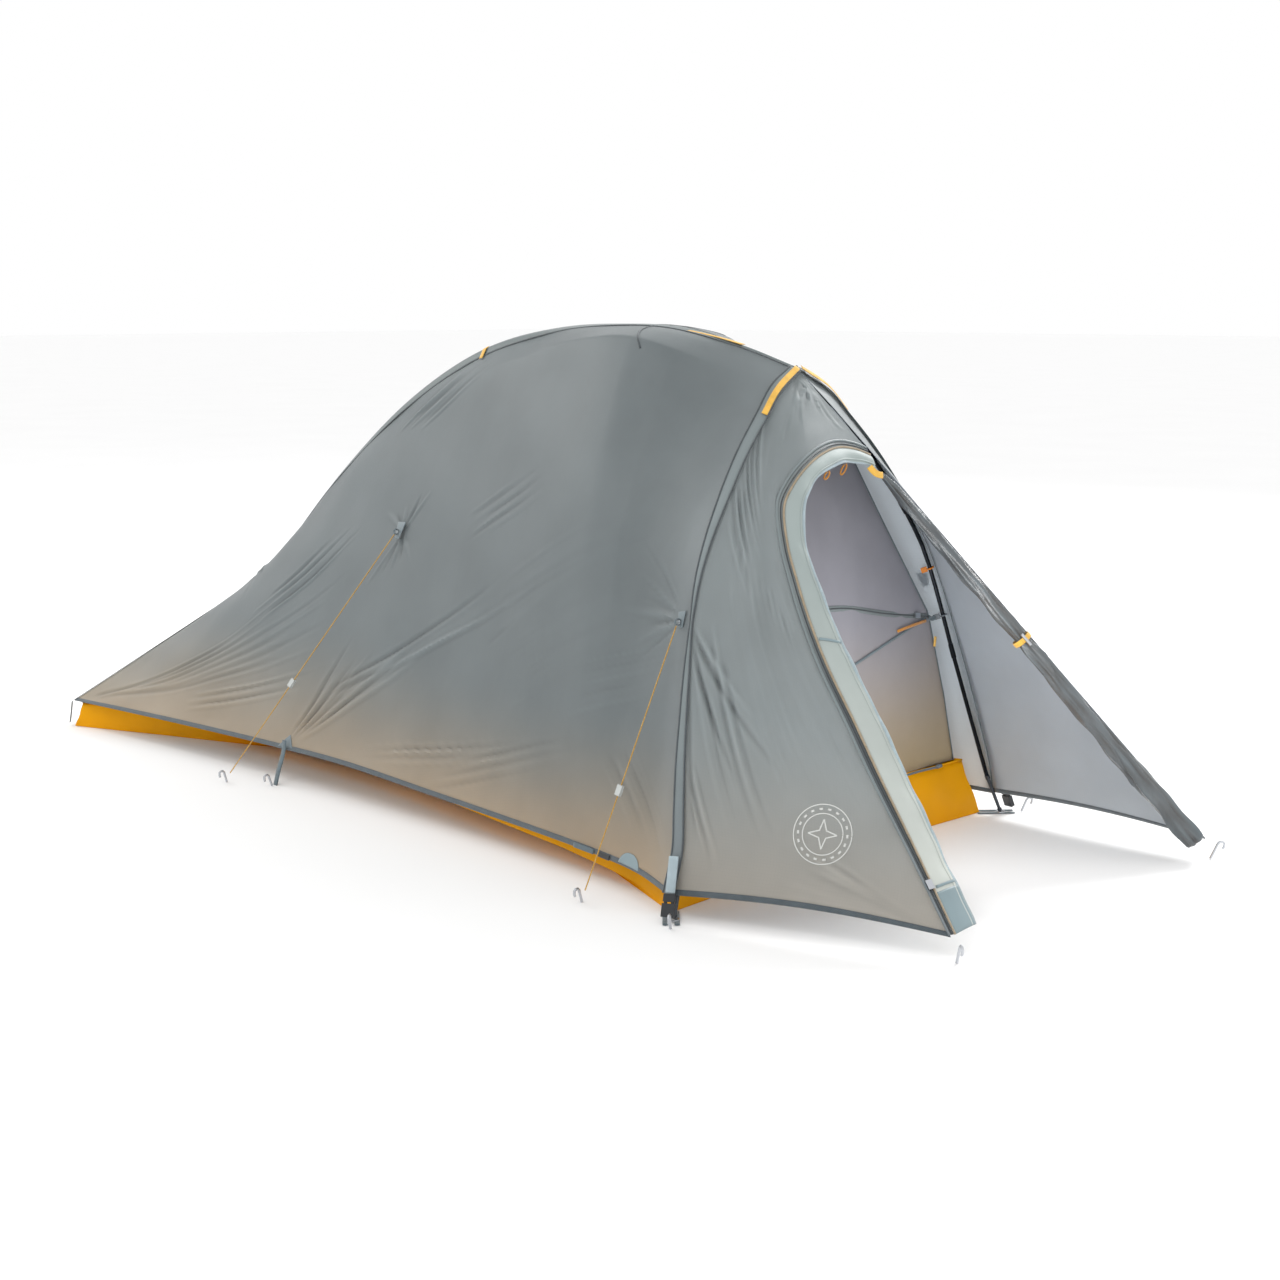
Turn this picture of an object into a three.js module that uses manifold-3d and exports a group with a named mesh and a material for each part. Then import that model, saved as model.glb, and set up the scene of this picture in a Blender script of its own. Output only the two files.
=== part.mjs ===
// One-person semi-freestanding dome tent, pitched, with its vestibule door rolled back.
// Units are millimetres. +X runs from the foot to the vestibule and +Z is up.
// Left is -Y and right is +Y, as seen by someone outside who faces the door.
// The origin is the centre of the floor's underside, which stands on z = 0.
import * as THREE from 'three';
import * as BufferGeometryUtils from 'three/addons/utils/BufferGeometryUtils.js';
import Module from 'manifold-3d';

const wasm = await Module();
wasm.setup();

// ---- driving dimensions -------------------------------------------------------------
const FLOOR_LENGTH = 2180;
const FLOOR_END_BOW = 14;
const FLOOR_FLAT_SHARE = 0.72;
const TRAY_LEAN = 16;
const HEAD_LEAN = 34;
const HEAD_LEAN_FROM = 850;
const FABRIC = 2.5;
const POLE_RADIUS = 4.4;
const FERRULE_RADIUS = 5.4;
const RIDGE_DROP = 18;
const HUB_CENTRE = [962, 0, 930];
const APEX = [966, 0, 953];
const LEG_FOOT_X = 1125;
const LEG_LEAN = 0.165;
const STRUT_X = 640;
const STRUT_HALF = 105;
const STRUT_DROP = 26;
const STRUT_RADIUS = 3.2;
const STRUT_RISE = 11.6;
const STRUT_LIFT = 92;
const STRUT_SPREAD_FRONT = 135;
const CREST_POWER = 0.62;
const STRUT_SPREAD_BACK = 330;
const HEM_RISE = 12;
const FOOT_TIP_X = -1185;
const VESTIBULE_LEFT_CORNER = [1602, -350, 40];
const VESTIBULE_RIGHT_CORNER = [1606, 492, 40];
const SEAM_GAP = 2;
const WEBBING_WIDTH = 19;
const STAKE_RADIUS = 2.6;

// Ridge line of the fly, from the hub to the crease point above the foot: x, z.
const RIDGE = [[966, 953], [822, 994], [669, 1020], [520, 1030], [310, 1023], [67, 974],
  [-199, 852], [-473, 660], [-643, 511], [-800, 381]];
// The ridge pole carries on below the crease to its tip at the foot: x, z.
const RIDGE_TAIL = [[-935, 242], [-1075, 108]];
// Half-width of the front legs' pole axis against height: z, y.
const LEG = [[0, 515], [60, 487], [180, 452], [275, 426], [372, 400], [442, 383], [520, 362],
  [577, 342], [640, 306], [715, 250], [790, 188], [855, 124], [905, 62]];
// Hem of each side panel, from the head corner to the foot corner: x, y, z.
const SIDE_HEM = [[1106, 509, 42], [999, 472, 51], [880, 449, 55], [674, 430, 61], [332, 405, 69],
  [10, 390, 79], [-260, 380, 76], [-650, 382, 72], [-1093, 396, 67]];
// Long edge of the floor, from the head corner to the foot corner. The cloth pulls in and
// lifts a little off the ground between its two staked corners: x, y, z.
const FLOOR_SIDE = [[1090, 485, 0], [1045, 462, 3], [956, 425, 10], [850, 408, 18], [709, 388, 26],
  [480, 358, 32], [245, 318, 34], [0, 282, 35], [-260, 262, 35], [-480, 256, 34], [-716, 252, 28],
  [-887, 325, 12], [-1090, 400, 0]];
// Height of the tray's rim against x.
const RIM_HEIGHT = [[-1090, 58], [-850, 74], [-500, 98], [0, 118], [1090, 120]];
// The door's zip line and the inner edge of its rain flap, as y, z on the vestibule.
const ZIP_LINE = [[-349, 42], [-330, 154], [-312, 269], [-297, 353], [-281, 447], [-263, 520],
  [-243, 585], [-222, 643], [-187, 711], [-153, 746], [-111, 778], [-56, 801], [5, 810],
  [52, 804], [86, 792]];
const FLAP_LINE = [[-279, 45], [-272, 151], [-265, 259], [-251, 366], [-233, 478], [-225, 515],
  [-216, 552], [-190, 642], [-152, 709], [-127, 735], [-97, 755], [-33, 772], [10, 777],
  [48, 773], [82, 763]];
// Edge of the inner tent's front wall: z, y.
const INNER_EDGE = [[124, 416], [230, 391], [345, 367], [440, 348], [640, 231], [764, 172], [884, 8]];
const INNER_TOP = 884;
// How far that wall stands behind the plane of the front legs: z, gap.
const INNER_GAP = [[124, 38], [263, 22], [440, 14], [640, 20], [884, 44]];
// Line of the inner door's zip on that wall: y, z.
const INNER_ZIP = [[338, 436], [200, 457], [59, 483], [-80, 482], [-190, 452], [-262, 396],
  [-296, 310], [-304, 170]];

const COLOURS = {
  fly: 0x7f8a88, flyFront: 0x939a97, binding: 0x56616a, flap: 0xb6c0b7, inner: 0x85827f,
  floor: 0xe5a416, tape: 0xe9b95c, pole: 0x1d1f22, alloy: 0xb9bdc2, plastic: 0x25282c,
  webbing: 0xbccbd0, roll: 0x4d5960, cord: 0xc9a75a, clip: 0xd98b1f, strap: 0x55646c,
};

const part = new THREE.Group();
part.name = 'dome_tent';

// ---- helpers ------------------------------------------------------------------------
function v3(x, y, z) {
  return new THREE.Vector3(x, y, z);
}

function add(name, geometry, colour) {
  const flat = geometry.index ? geometry : BufferGeometryUtils.mergeVertices(geometry);
  flat.computeVertexNormals();
  const material = new THREE.MeshStandardMaterial({ color: colour, roughness: 0.7 });
  const mesh = new THREE.Mesh(flat, material);
  mesh.name = name;
  part.add(mesh);
}

function meshOf(points, triangles) {
  const geometry = new THREE.BufferGeometry();
  const array = new Float32Array(points.flatMap((p) => [p.x, p.y, p.z]));
  geometry.setAttribute('position', new THREE.BufferAttribute(array, 3));
  geometry.setIndex(triangles);
  return geometry;
}

function facingOut(geometry) {
  const p = geometry.attributes.position;
  const index = geometry.index.array;
  let volume = 0;
  for (let i = 0; i < index.length; i += 3) {
    const a = v3().fromBufferAttribute(p, index[i]);
    const b = v3().fromBufferAttribute(p, index[i + 1]);
    const c = v3().fromBufferAttribute(p, index[i + 2]);
    volume += a.dot(b.cross(c));
  }
  if (volume < 0) {
    for (let i = 0; i < index.length; i += 3) {
      [index[i + 1], index[i + 2]] = [index[i + 2], index[i + 1]];
    }
  }
  return geometry;
}

function solid(geometry) {
  const bare = new THREE.BufferGeometry();
  bare.setAttribute('position', geometry.attributes.position.clone());
  if (geometry.index) {
    bare.setIndex(geometry.index.clone());
  }
  const merged = BufferGeometryUtils.mergeVertices(bare, 1e-4);
  return new wasm.Manifold(new wasm.Mesh({
    numProp: 3,
    vertProperties: new Float32Array(merged.attributes.position.array),
    triVerts: new Uint32Array(merged.index.array),
  }));
}

function fromSolid(body) {
  const mesh = body.getMesh();
  const geometry = new THREE.BufferGeometry();
  geometry.setAttribute('position', new THREE.BufferAttribute(new Float32Array(mesh.vertProperties), 3));
  geometry.setIndex(Array.from(mesh.triVerts));
  return geometry;
}

function union(...geometries) {
  return fromSolid(geometries.map(solid).reduce((a, b) => a.add(b)));
}

function cut(geometry, ...tools) {
  return fromSolid(tools.map(solid).reduce((a, b) => a.subtract(b), solid(geometry)));
}

function curveThrough(points) {
  return new THREE.CatmullRomCurve3(points, false, 'centripetal');
}

// Value of the second column at x, on a table sorted by its first column.
function interpolate(table, x) {
  const last = table.length - 1;
  const rising = table[last][0] > table[0][0];
  for (let i = 0; i < last; i += 1) {
    const [a, b] = [table[i], table[i + 1]];
    const inside = rising ? x <= b[0] : x >= b[0];
    if (inside || i === last - 1) {
      return a[1] + ((x - a[0]) / (b[0] - a[0])) * (b[1] - a[1]);
    }
  }
  return table[last][1];
}

// Tube along a list of points, with one radius or a radius per point.
function tube(points, radius, sides = 8) {
  const rings = [];
  const triangles = [];
  const side = v3(0, 1, 0);
  let across = null;
  points.forEach((point, i) => {
    const before = points[Math.max(i - 1, 0)];
    const after = points[Math.min(i + 1, points.length - 1)];
    const along = after.clone().sub(before).normalize();
    if (!across) {
      across = Math.abs(along.dot(side)) > 0.9 ? v3(1, 0, 0) : side.clone();
    }
    across.addScaledVector(along, -across.dot(along)).normalize();
    const up = along.clone().cross(across);
    const r = Array.isArray(radius) ? radius[i] : radius;
    for (let k = 0; k < sides; k += 1) {
      const angle = (k / sides) * Math.PI * 2;
      rings.push(point.clone()
        .addScaledVector(across, Math.cos(angle) * r)
        .addScaledVector(up, Math.sin(angle) * r));
    }
  });
  for (let i = 0; i < points.length - 1; i += 1) {
    for (let k = 0; k < sides; k += 1) {
      const a = i * sides + k;
      const b = i * sides + ((k + 1) % sides);
      triangles.push(a, b, a + sides, b, b + sides, a + sides);
    }
  }
  const end = (points.length - 1) * sides;
  for (let k = 1; k < sides - 1; k += 1) {
    triangles.push(0, k + 1, k, end, end + k, end + k + 1);
  }
  return facingOut(meshOf(rings, triangles));
}

// Closed thin shell whose outer face is the grid of points at(i, j).
function shell(at, columns, rows, thickness, outward) {
  const outer = [];
  for (let i = 0; i <= columns; i += 1) {
    for (let j = 0; j <= rows; j += 1) {
      outer.push(at(i, j));
    }
  }
  const id = (i, j) => i * (rows + 1) + j;
  const normals = outer.map((point, n) => {
    const i = Math.floor(n / (rows + 1));
    const j = n % (rows + 1);
    const du = outer[id(Math.min(i + 1, columns), j)].clone().sub(outer[id(Math.max(i - 1, 0), j)]);
    const dv = outer[id(i, Math.min(j + 1, rows))].clone().sub(outer[id(i, Math.max(j - 1, 0))]);
    const normal = du.cross(dv).normalize();
    return normal.dot(outward(point)) < 0 ? normal.negate() : normal;
  });
  const inner = outer.map((point, n) => point.clone().addScaledVector(normals[n], -thickness));
  const count = outer.length;
  const triangles = [];
  for (let i = 0; i < columns; i += 1) {
    for (let j = 0; j < rows; j += 1) {
      const [a, b, c, d] = [id(i, j), id(i + 1, j), id(i + 1, j + 1), id(i, j + 1)];
      triangles.push(a, b, c, a, c, d);
      triangles.push(count + a, count + c, count + b, count + a, count + d, count + c);
    }
  }
  const rim = [];
  for (let i = 0; i < columns; i += 1) {
    rim.push(id(i, 0));
  }
  for (let j = 0; j < rows; j += 1) {
    rim.push(id(columns, j));
  }
  for (let i = columns; i > 0; i -= 1) {
    rim.push(id(i, rows));
  }
  for (let j = rows; j > 0; j -= 1) {
    rim.push(id(0, j));
  }
  rim.forEach((a, n) => {
    const b = rim[(n + 1) % rim.length];
    triangles.push(b, a, count + a, b, count + a, count + b);
  });
  return facingOut(meshOf(outer.concat(inner), triangles));
}

// Shell ruled between two curves, each a function of 0..1; its edge at 0 arches up.
function ruledShell(from, to, columns, rows, thickness, outward, rise = 0) {
  const at = (i, j) => {
    const u = i / columns;
    const arch = rise * Math.sin((Math.PI * j) / rows) * (1 - u) ** 8;
    return from(u).lerp(to(u), j / rows).add(v3(0, 0, arch));
  };
  return shell(at, columns, rows, thickness, outward);
}

// Flat strip centred on a path, lying on a surface whose normal is facing(i).
function strip(points, facing, width, thickness) {
  const at = (i, j) => {
    const before = points[Math.max(i - 1, 0)];
    const after = points[Math.min(i + 1, points.length - 1)];
    const across = after.clone().sub(before).cross(facing(i)).normalize();
    return points[i].clone()
      .addScaledVector(facing(i), thickness)
      .addScaledVector(across, (j - 0.5) * width);
  };
  const middle = Math.floor(points.length / 2);
  return shell(at, points.length - 1, 1, thickness, () => facing(middle));
}

// Box centred at a point, its local x, y and z along three given directions.
function orientedBox(centre, xDir, zDir, sx, sy, sz) {
  const x = xDir.clone().normalize();
  const z = zDir.clone().addScaledVector(x, -zDir.dot(x)).normalize();
  const y = z.clone().cross(x);
  const geometry = new THREE.BoxGeometry(sx, sy, sz);
  geometry.applyMatrix4(new THREE.Matrix4().makeBasis(x, y, z).setPosition(centre));
  return geometry;
}

function samples(curve, count) {
  return Array.from({ length: count + 1 }, (_, i) => curve(i / count));
}

// ---- shape of the tent ----------------------------------------------------------------
const ridgeCurve = curveThrough(RIDGE.map(([x, z]) => v3(x, 0, z)));
const tailCurve = curveThrough([RIDGE[RIDGE.length - 1], ...RIDGE_TAIL].map(([x, z]) => v3(x, 0, z)));
const hemCurve = curveThrough(SIDE_HEM.map(([x, y, z]) => v3(x, y, z)));
const legCurve = curveThrough(LEG.map(([z, y]) => v3(LEG_FOOT_X - LEG_LEAN * z, y, z)));

function mirrored(point, side) {
  return v3(point.x, point.y * side, point.z);
}

// Seam over a front leg, from the apex at 0 to the hem's head corner at 1.
const seamCurve = (() => {
  const points = [v3(...APEX)];
  for (const z of [912, 865, 800, 725, 650, 585, 520, 440, 360, 275, 190, 120]) {
    const clearance = 15 + 13 * Math.sin((Math.PI * z) / 620) ** 2 * (z < 620 ? 1 : 0);
    const spot = v3(LEG_FOOT_X - LEG_LEAN * z + 4, interpolate(LEG, z) + clearance, z);
    points.push(spot);
  }
  points.push(v3(1108, 511, 44));
  return curveThrough(points);
})();

function seam(side, v) {
  return mirrored(seamCurve.getPointAt(v), side);
}

// Outward bulge of the seam from the straight line between its ends.
function seamBulge(side, v) {
  return seam(side, v).sub(seam(side, 0).lerp(seam(side, 1), v));
}

// Fly over one side: s runs from the front legs to the foot crease, v from ridge to hem.
function sidePoint(side, s, v) {
  const top = ridgeCurve.getPointAt(s).setY(side * 3.2);
  const hem = mirrored(hemCurve.getPointAt(s), side);
  const drop = top.z - hem.z;
  const reach = Math.abs(hem.y);
  const outward = v3(0, side * drop, reach).normalize();
  const crest = v < 0.07 ? (v / 0.07) ** CREST_POWER : (1 - v) / 0.93;
  const spread = top.x > STRUT_X ? STRUT_SPREAD_FRONT : STRUT_SPREAD_BACK;
  const lift = STRUT_LIFT * Math.exp(-(((top.x - STRUT_X) / spread) ** 2)) * crest;
  const fade = Math.max(0, 1 - s / 0.62) ** 1.8;
  const fromStrut = Math.min(1, s / 0.12);
  return top.lerp(hem, v)
    .addScaledVector(seamBulge(side, v), fade)
    .addScaledVector(outward, lift * fromStrut)
    .add(v3(-SEAM_GAP * (1 - s), 0, 0));
}

// The closed vestibule: a plane between the apex and both staked corners, and a cone
// from each corner over its leg. The line through y, z along X meets it once.
function vestibulePoint(y, z) {
  const apex = v3(...APEX);
  const left = v3(...VESTIBULE_LEFT_CORNER);
  const right = v3(...VESTIBULE_RIGHT_CORNER);
  const t = (apex.z - z) / (apex.z - left.z);
  const low = left.y * t;
  const high = right.y * t;
  if (y >= low && y <= high) {
    return v3(apex.x + (left.x - apex.x) * t, y, z);
  }
  const side = y < low ? -1 : 1;
  const corner = side < 0 ? left : right;
  let best = null;
  let miss = Infinity;
  for (let i = 0; i <= 400; i += 1) {
    const foot = seam(side, i / 400);
    const along = (z - foot.z) / (corner.z - foot.z || 1e-6);
    const spot = foot.clone().lerp(corner, Math.min(Math.max(along, 0), 1));
    const error = Math.abs(spot.y - y) + Math.abs(spot.z - z);
    if (error < miss) {
      miss = error;
      best = spot;
    }
  }
  return best;
}

const zipCurve = curveThrough(ZIP_LINE.map(([y, z]) => vestibulePoint(y, z)));
const flapCurve = curveThrough(FLAP_LINE.map(([y, z]) => vestibulePoint(y, z)));

function zipPoint(u, shift) {
  const across = flapCurve.getPointAt(u).sub(zipCurve.getPointAt(u)).normalize();
  return zipCurve.getPointAt(u).addScaledVector(across, shift);
}

// Crease from the apex to the right corner, along which the door is rolled.
function doorCrease(t) {
  return v3(...APEX).lerp(v3(...VESTIBULE_RIGHT_CORNER), t);
}

// ---- poles ------------------------------------------------------------------------------
function ridgeAxis(count) {
  const upper = samples((s) => {
    const point = ridgeCurve.getPointAt(s);
    const along = ridgeCurve.getTangentAt(s);
    return point.add(v3(along.z, 0, -along.x).multiplyScalar(along.x < 0 ? -RIDGE_DROP : RIDGE_DROP));
  }, count);
  return upper;
}

function poleWithFerrules(points, every) {
  const radii = [];
  const path = [];
  points.forEach((point, i) => {
    const inner = i > 0 && i < points.length - 1;
    if (inner && i % every === 0) {
      const along = points[i + 1].clone().sub(points[i - 1]).normalize();
      for (const [offset, radius] of [[-16, POLE_RADIUS], [-15, FERRULE_RADIUS],
        [15, FERRULE_RADIUS], [16, POLE_RADIUS]]) {
        path.push(point.clone().addScaledVector(along, offset));
        radii.push(radius);
      }
    } else {
      path.push(point.clone());
      radii.push(POLE_RADIUS);
    }
  });
  return tube(path, radii, 8);
}

const HUB = v3(...HUB_CENTRE);
const legTop = (side) => v3(LEG_FOOT_X - LEG_LEAN * 905, 62 * side, 905);

function socketEnd(target, length) {
  return HUB.clone().add(target.clone().sub(HUB).normalize().multiplyScalar(length));
}

function buildHub(ridgeStart) {
  const ball = new THREE.IcosahedronGeometry(9.5, 2);
  ball.translate(HUB.x, HUB.y, HUB.z);
  const sockets = [ridgeStart, legTop(-1), legTop(1)].map((target) => (
    tube([HUB.clone(), socketEnd(target, 34)], 7.4, 12)));
  add('hub', union(ball, ...sockets), COLOURS.plastic);
}

function buildPoles() {
  const axis = ridgeAxis(26).filter((point) => point.distanceTo(HUB) > 60);
  const tail = [v3(-950, 0, 228 - 12), v3(-1060, 0, 112), v3(-1148, 0, 30)];
  const first = socketEnd(axis[0], 35.6);
  buildHub(axis[0]);
  add('ridge_pole', poleWithFerrules([first, ...axis, ...tail], 6), COLOURS.pole);
  for (const [label, side] of [['left', -1], ['right', 1]]) {
    const start = socketEnd(legTop(side), 35.6);
    const lower = samples((u) => mirrored(legCurve.getPointAt(1 - u), side), 22)
      .filter((point) => point.distanceTo(HUB) > 75 && point.z > 46);
    add(`leg_pole_${label}`, poleWithFerrules([start, ...lower], 7), COLOURS.pole);
    const end = lower[lower.length - 1];
    buildTip(`pole_tip_${label}`, end, v3(LEG_FOOT_X, 515 * side, 0));
  }
  buildTip('pole_tip_foot', tail[tail.length - 1], v3(FOOT_TIP_X, 0, 0));
}

function buildTip(name, from, to) {
  const along = to.clone().sub(from).normalize();
  const length = from.distanceTo(to);
  const stations = [[0.6, 5.2], [9, 5.2], [10, 4.2], [length - 12, 3.4], [length - 11, 5.0],
    [length - 7, 5.0], [length - 6, 2.6], [length - 3.4, 2.4]];
  const points = stations.map(([d]) => from.clone().addScaledVector(along, d));
  add(name, tube(points, stations.map(([, r]) => r), 10), COLOURS.alloy);
}

function strutCentre() {
  return v3(STRUT_X, 0, interpolate(RIDGE, STRUT_X) - RIDGE_DROP + STRUT_RISE);
}

function buildStrut() {
  const centre = strutCentre();
  const points = [];
  for (let i = -6; i <= 6; i += 1) {
    const t = i / 6;
    points.push(v3(centre.x, t * STRUT_HALF, centre.z - STRUT_DROP * t * t));
  }
  add('cross_strut', tube(points, STRUT_RADIUS, 8), COLOURS.pole);
  const ring = new THREE.TorusGeometry(POLE_RADIUS + 2, 1.3, 6, 16);
  ring.rotateY(Math.PI / 2);
  ring.translate(centre.x, 0, centre.z - STRUT_RISE);
  add('strut_clip', BufferGeometryUtils.mergeVertices(stripAttributes(ring)), COLOURS.plastic);
}

function stripAttributes(geometry) {
  const bare = new THREE.BufferGeometry();
  bare.setAttribute('position', geometry.attributes.position);
  bare.setIndex(geometry.index);
  return bare;
}

// ---- floor and inner tent ------------------------------------------------------------------
// Outline of the floor, counter-clockwise from the left head corner.
function floorOutline(inset) {
  const side = (sign) => FLOOR_SIDE.map(([x, y, z]) => v3(x, y * sign, z));
  const end = (x, half, bow) => [0.25, 0.5, 0.75].map((t) => (
    v3(x - Math.sign(x) * bow * (1 - Math.abs(2 * t - 1) ** 2.4), half * (1 - 2 * t), 0)));
  const half = FLOOR_LENGTH / 2;
  const [head, foot] = [FLOOR_SIDE[0][1], FLOOR_SIDE[FLOOR_SIDE.length - 1][1]];
  const outline = [
    ...end(half, -head, FLOOR_END_BOW), ...side(1),
    ...end(-half, foot, FLOOR_END_BOW), ...side(-1).reverse()];
  return outline.map((point) => v3(
    point.x - Math.sign(point.x) * inset * Math.min(1, Math.abs(point.x) / 400),
    point.y - Math.sign(point.y) * inset * Math.min(1, Math.abs(point.y) / 200),
    point.z));
}

// Top of the tray's wall, which leans in further at the two head corners.
function rimRing(inset, lift) {
  return floorOutline(inset).map(({ x, y }) => {
    const share = Math.max(0, x - HEAD_LEAN_FROM) / (FLOOR_LENGTH / 2 - HEAD_LEAN_FROM);
    const pull = HEAD_LEAN * share * Math.min(1, Math.abs(y) / 200);
    return v3(x, y - Math.sign(y) * pull, interpolate(RIM_HEIGHT, x) + lift);
  });
}

// The part of the floor that lies flat on the ground.
function flatRing(height) {
  return floorOutline(0).map(({ x, y }) => v3(x * FLOOR_FLAT_SHARE, y * FLOOR_FLAT_SHARE, height));
}

function buildFloor() {
  const raised = floorOutline(FABRIC).map((point) => point.setZ(point.z + FABRIC));
  const rings = [flatRing(0), floorOutline(0), rimRing(TRAY_LEAN, 0), rimRing(TRAY_LEAN + FABRIC, 0),
    raised, flatRing(FABRIC)];
  const count = rings[0].length;
  const last = rings.length - 1;
  const points = rings.flat().concat([v3(0, 0, 0), v3(0, 0, FABRIC)]);
  const centre = rings.length * count;
  const triangles = [];
  for (let k = 0; k < count; k += 1) {
    const next = (k + 1) % count;
    for (let r = 0; r < last; r += 1) {
      const [a, b] = [r * count + k, r * count + next];
      triangles.push(a, b, b + count, a, b + count, a + count);
    }
    triangles.push(next, k, centre, last * count + k, last * count + next, centre + 1);
  }
  const tray = facingOut(meshOf(points, triangles));
  const tabs = [
    cornerTab(v3(1088, -483, 1.4), v3(1141, -539, 1.4), v3(LEG_FOOT_X, -515, 0), 7),
    cornerTab(v3(1088, 483, 1.4), v3(1141, 539, 1.4), v3(LEG_FOOT_X, 515, 0), 7),
    cornerTab(v3(-1068, 0, 1.4), v3(-1212, 0, 1.4), v3(FOOT_TIP_X, 0, 0), 12)];
  add('floor', union(tray, ...tabs), COLOURS.floor);
}

// Webbing tab from the floor out to the pole tip, with a hole that the tip stands in.
function cornerTab(from, to, hole, holeRadius) {
  const middle = from.clone().add(to).multiplyScalar(0.5);
  const along = to.clone().sub(from);
  const tab = orientedBox(middle, along, v3(0, 0, 1), along.length(), 30, 2.8);
  const bore = new THREE.CylinderGeometry(holeRadius, holeRadius, 20, 16);
  bore.rotateX(Math.PI / 2);
  bore.translate(hole.x, hole.y, 0);
  return cut(tab, bore);
}

function innerRidge(s) {
  const x = 944 - s * (944 + 1022);
  const cover = x > -800 ? interpolate(RIDGE, x) : interpolate([RIDGE[9], ...RIDGE_TAIL], x);
  return v3(x, 0, cover - 66 + 18 * s);
}

function onInnerFront(y, z) {
  return v3(LEG_FOOT_X - LEG_LEAN * z - interpolate(INNER_GAP, z), y, z);
}

function innerFront(side, v) {
  const z = INNER_TOP + (INNER_EDGE[0][0] - INNER_TOP) * v;
  return onInnerFront(side * interpolate(INNER_EDGE, z), z);
}

// Top rim of the tray along one side and round to the middle of the foot.
const rimCurve = (() => {
  const points = rimRing(TRAY_LEAN + 1, 3.5).slice(3, 18);
  points[points.length - 1].setY(3);
  points[0].copy(innerFront(1, 1));
  return curveThrough(points);
})();

function innerSidePoint(side, s, v) {
  const top = innerRidge(s).setY(side * 3);
  const rim = mirrored(rimCurve.getPointAt(s), side);
  const bulge = innerFront(side, v).sub(innerFront(side, 0).lerp(innerFront(side, 1), v));
  return top.lerp(rim, v).addScaledVector(bulge, Math.max(0, 1 - s / 0.5) ** 2);
}

function buildInner() {
  for (const [label, side] of [['left', -1], ['right', 1]]) {
    const at = (i, j) => innerSidePoint(side, i / 18, j / 8);
    const outward = (point) => v3(0, side, 0.6).sub(v3(point.x < -900 ? 0.8 : 0, 0, 0));
    add(`inner_side_${label}`, shell(at, 18, 8, FABRIC, outward), COLOURS.inner);
  }
  const front = (i, j) => {
    const left = innerFront(-1, j / 8).add(v3(5, 5 + 4 * (j / 8), 0));
    const right = innerFront(1, j / 8).add(v3(5, -5 - 4 * (j / 8), 0));
    return left.lerp(right, i / 6);
  };
  add('inner_front', shell(front, 6, 8, FABRIC, () => v3(1, 0, 0.165)), COLOURS.inner);
  const facing = v3(1, 0, LEG_LEAN).normalize();
  const line = INNER_ZIP.map(([y, z]) => onInnerFront(y, z).addScaledVector(facing, 6.4));
  add('inner_door_zip', strip(line, () => facing, 12, 1.6), COLOURS.strap);
  const spot = onInnerFront(300, 442).addScaledVector(facing, 11.2);
  const slider = orientedBox(spot, v3(0, 1, -0.155), facing, 16, 11, 4);
  add('inner_zip_slider', slider, COLOURS.alloy);
}

// Open hook that holds the inner tent to a pole, with a short tail towards the wall.
function poleClip(name, centre, along, towards) {
  const x = towards.clone().addScaledVector(along, -towards.dot(along)).normalize();
  const y = along.clone().cross(x).normalize();
  const path = [];
  for (let k = 0; k <= 9; k += 1) {
    const angle = (k / 9) * Math.PI * 1.5 + Math.PI * 0.02;
    path.push(centre.clone()
      .addScaledVector(x, Math.cos(angle) * 7.2)
      .addScaledVector(y, Math.sin(angle) * 7.2));
  }
  const hook = tube(path, 1.7, 6);
  const tail = orientedBox(centre.clone().addScaledVector(x, 13), x, along, 13, 3.4, 11);
  add(name, union(hook, tail), COLOURS.clip);
}

function buildClips() {
  for (const [label, side] of [['left', -1], ['right', 1]]) {
    for (const [level, u] of [['low', 0.44], ['high', 0.54]]) {
      const centre = mirrored(legCurve.getPointAt(u), side);
      const along = mirrored(legCurve.getTangentAt(u), side);
      poleClip(`clip_leg_${label}_${level}`, centre, along, v3(-0.7, -0.75 * side, 0));
    }
  }
  const s = 0.52;
  const cover = ridgeCurve.getPointAt(s);
  const along = ridgeCurve.getTangentAt(s);
  const centre = cover.add(v3(along.z, 0, -along.x).multiplyScalar(along.x < 0 ? -RIDGE_DROP : RIDGE_DROP));
  poleClip('clip_ridge', centre, along, v3(0, 0, -1));
}

// ---- fly -----------------------------------------------------------------------------------
const V_STEPS = [0, 0.03, 0.07, 0.12, 0.2, 0.3, 0.42, 0.55, 0.7, 0.85, 1];

function outwardOf(point) {
  return v3(point.x > 1100 ? 0.8 : 0, point.y, 120);
}

function buildFlySides() {
  for (const [label, side] of [['left', -1], ['right', 1]]) {
    const at = (i, j) => sidePoint(side, (i / 22) * 0.998, V_STEPS[j]);
    add(`fly_side_${label}`, shell(at, 22, 10, FABRIC, outwardOf), COLOURS.fly);
  }
}

function buildFlyFoot() {
  const crease = (side, a) => sidePoint(side, 1, a).add(v3(-SEAM_GAP, 0, 0));
  const at = (i, j) => {
    const a = 0.05 + (i / 9) * 0.95;
    const w = j / 4 - 1;
    const middle = tailCurve.getPointAt(Math.min(a, 1)).add(v3(-2, 0, 3));
    if (a === 1) {
      middle.set(-1152, 0, 62);
    }
    return middle.lerp(crease(w < 0 ? -1 : 1, a), Math.abs(w));
  };
  add('fly_foot', shell(at, 9, 8, FABRIC, () => v3(-1, 0, 1)), COLOURS.fly);
}

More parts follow.
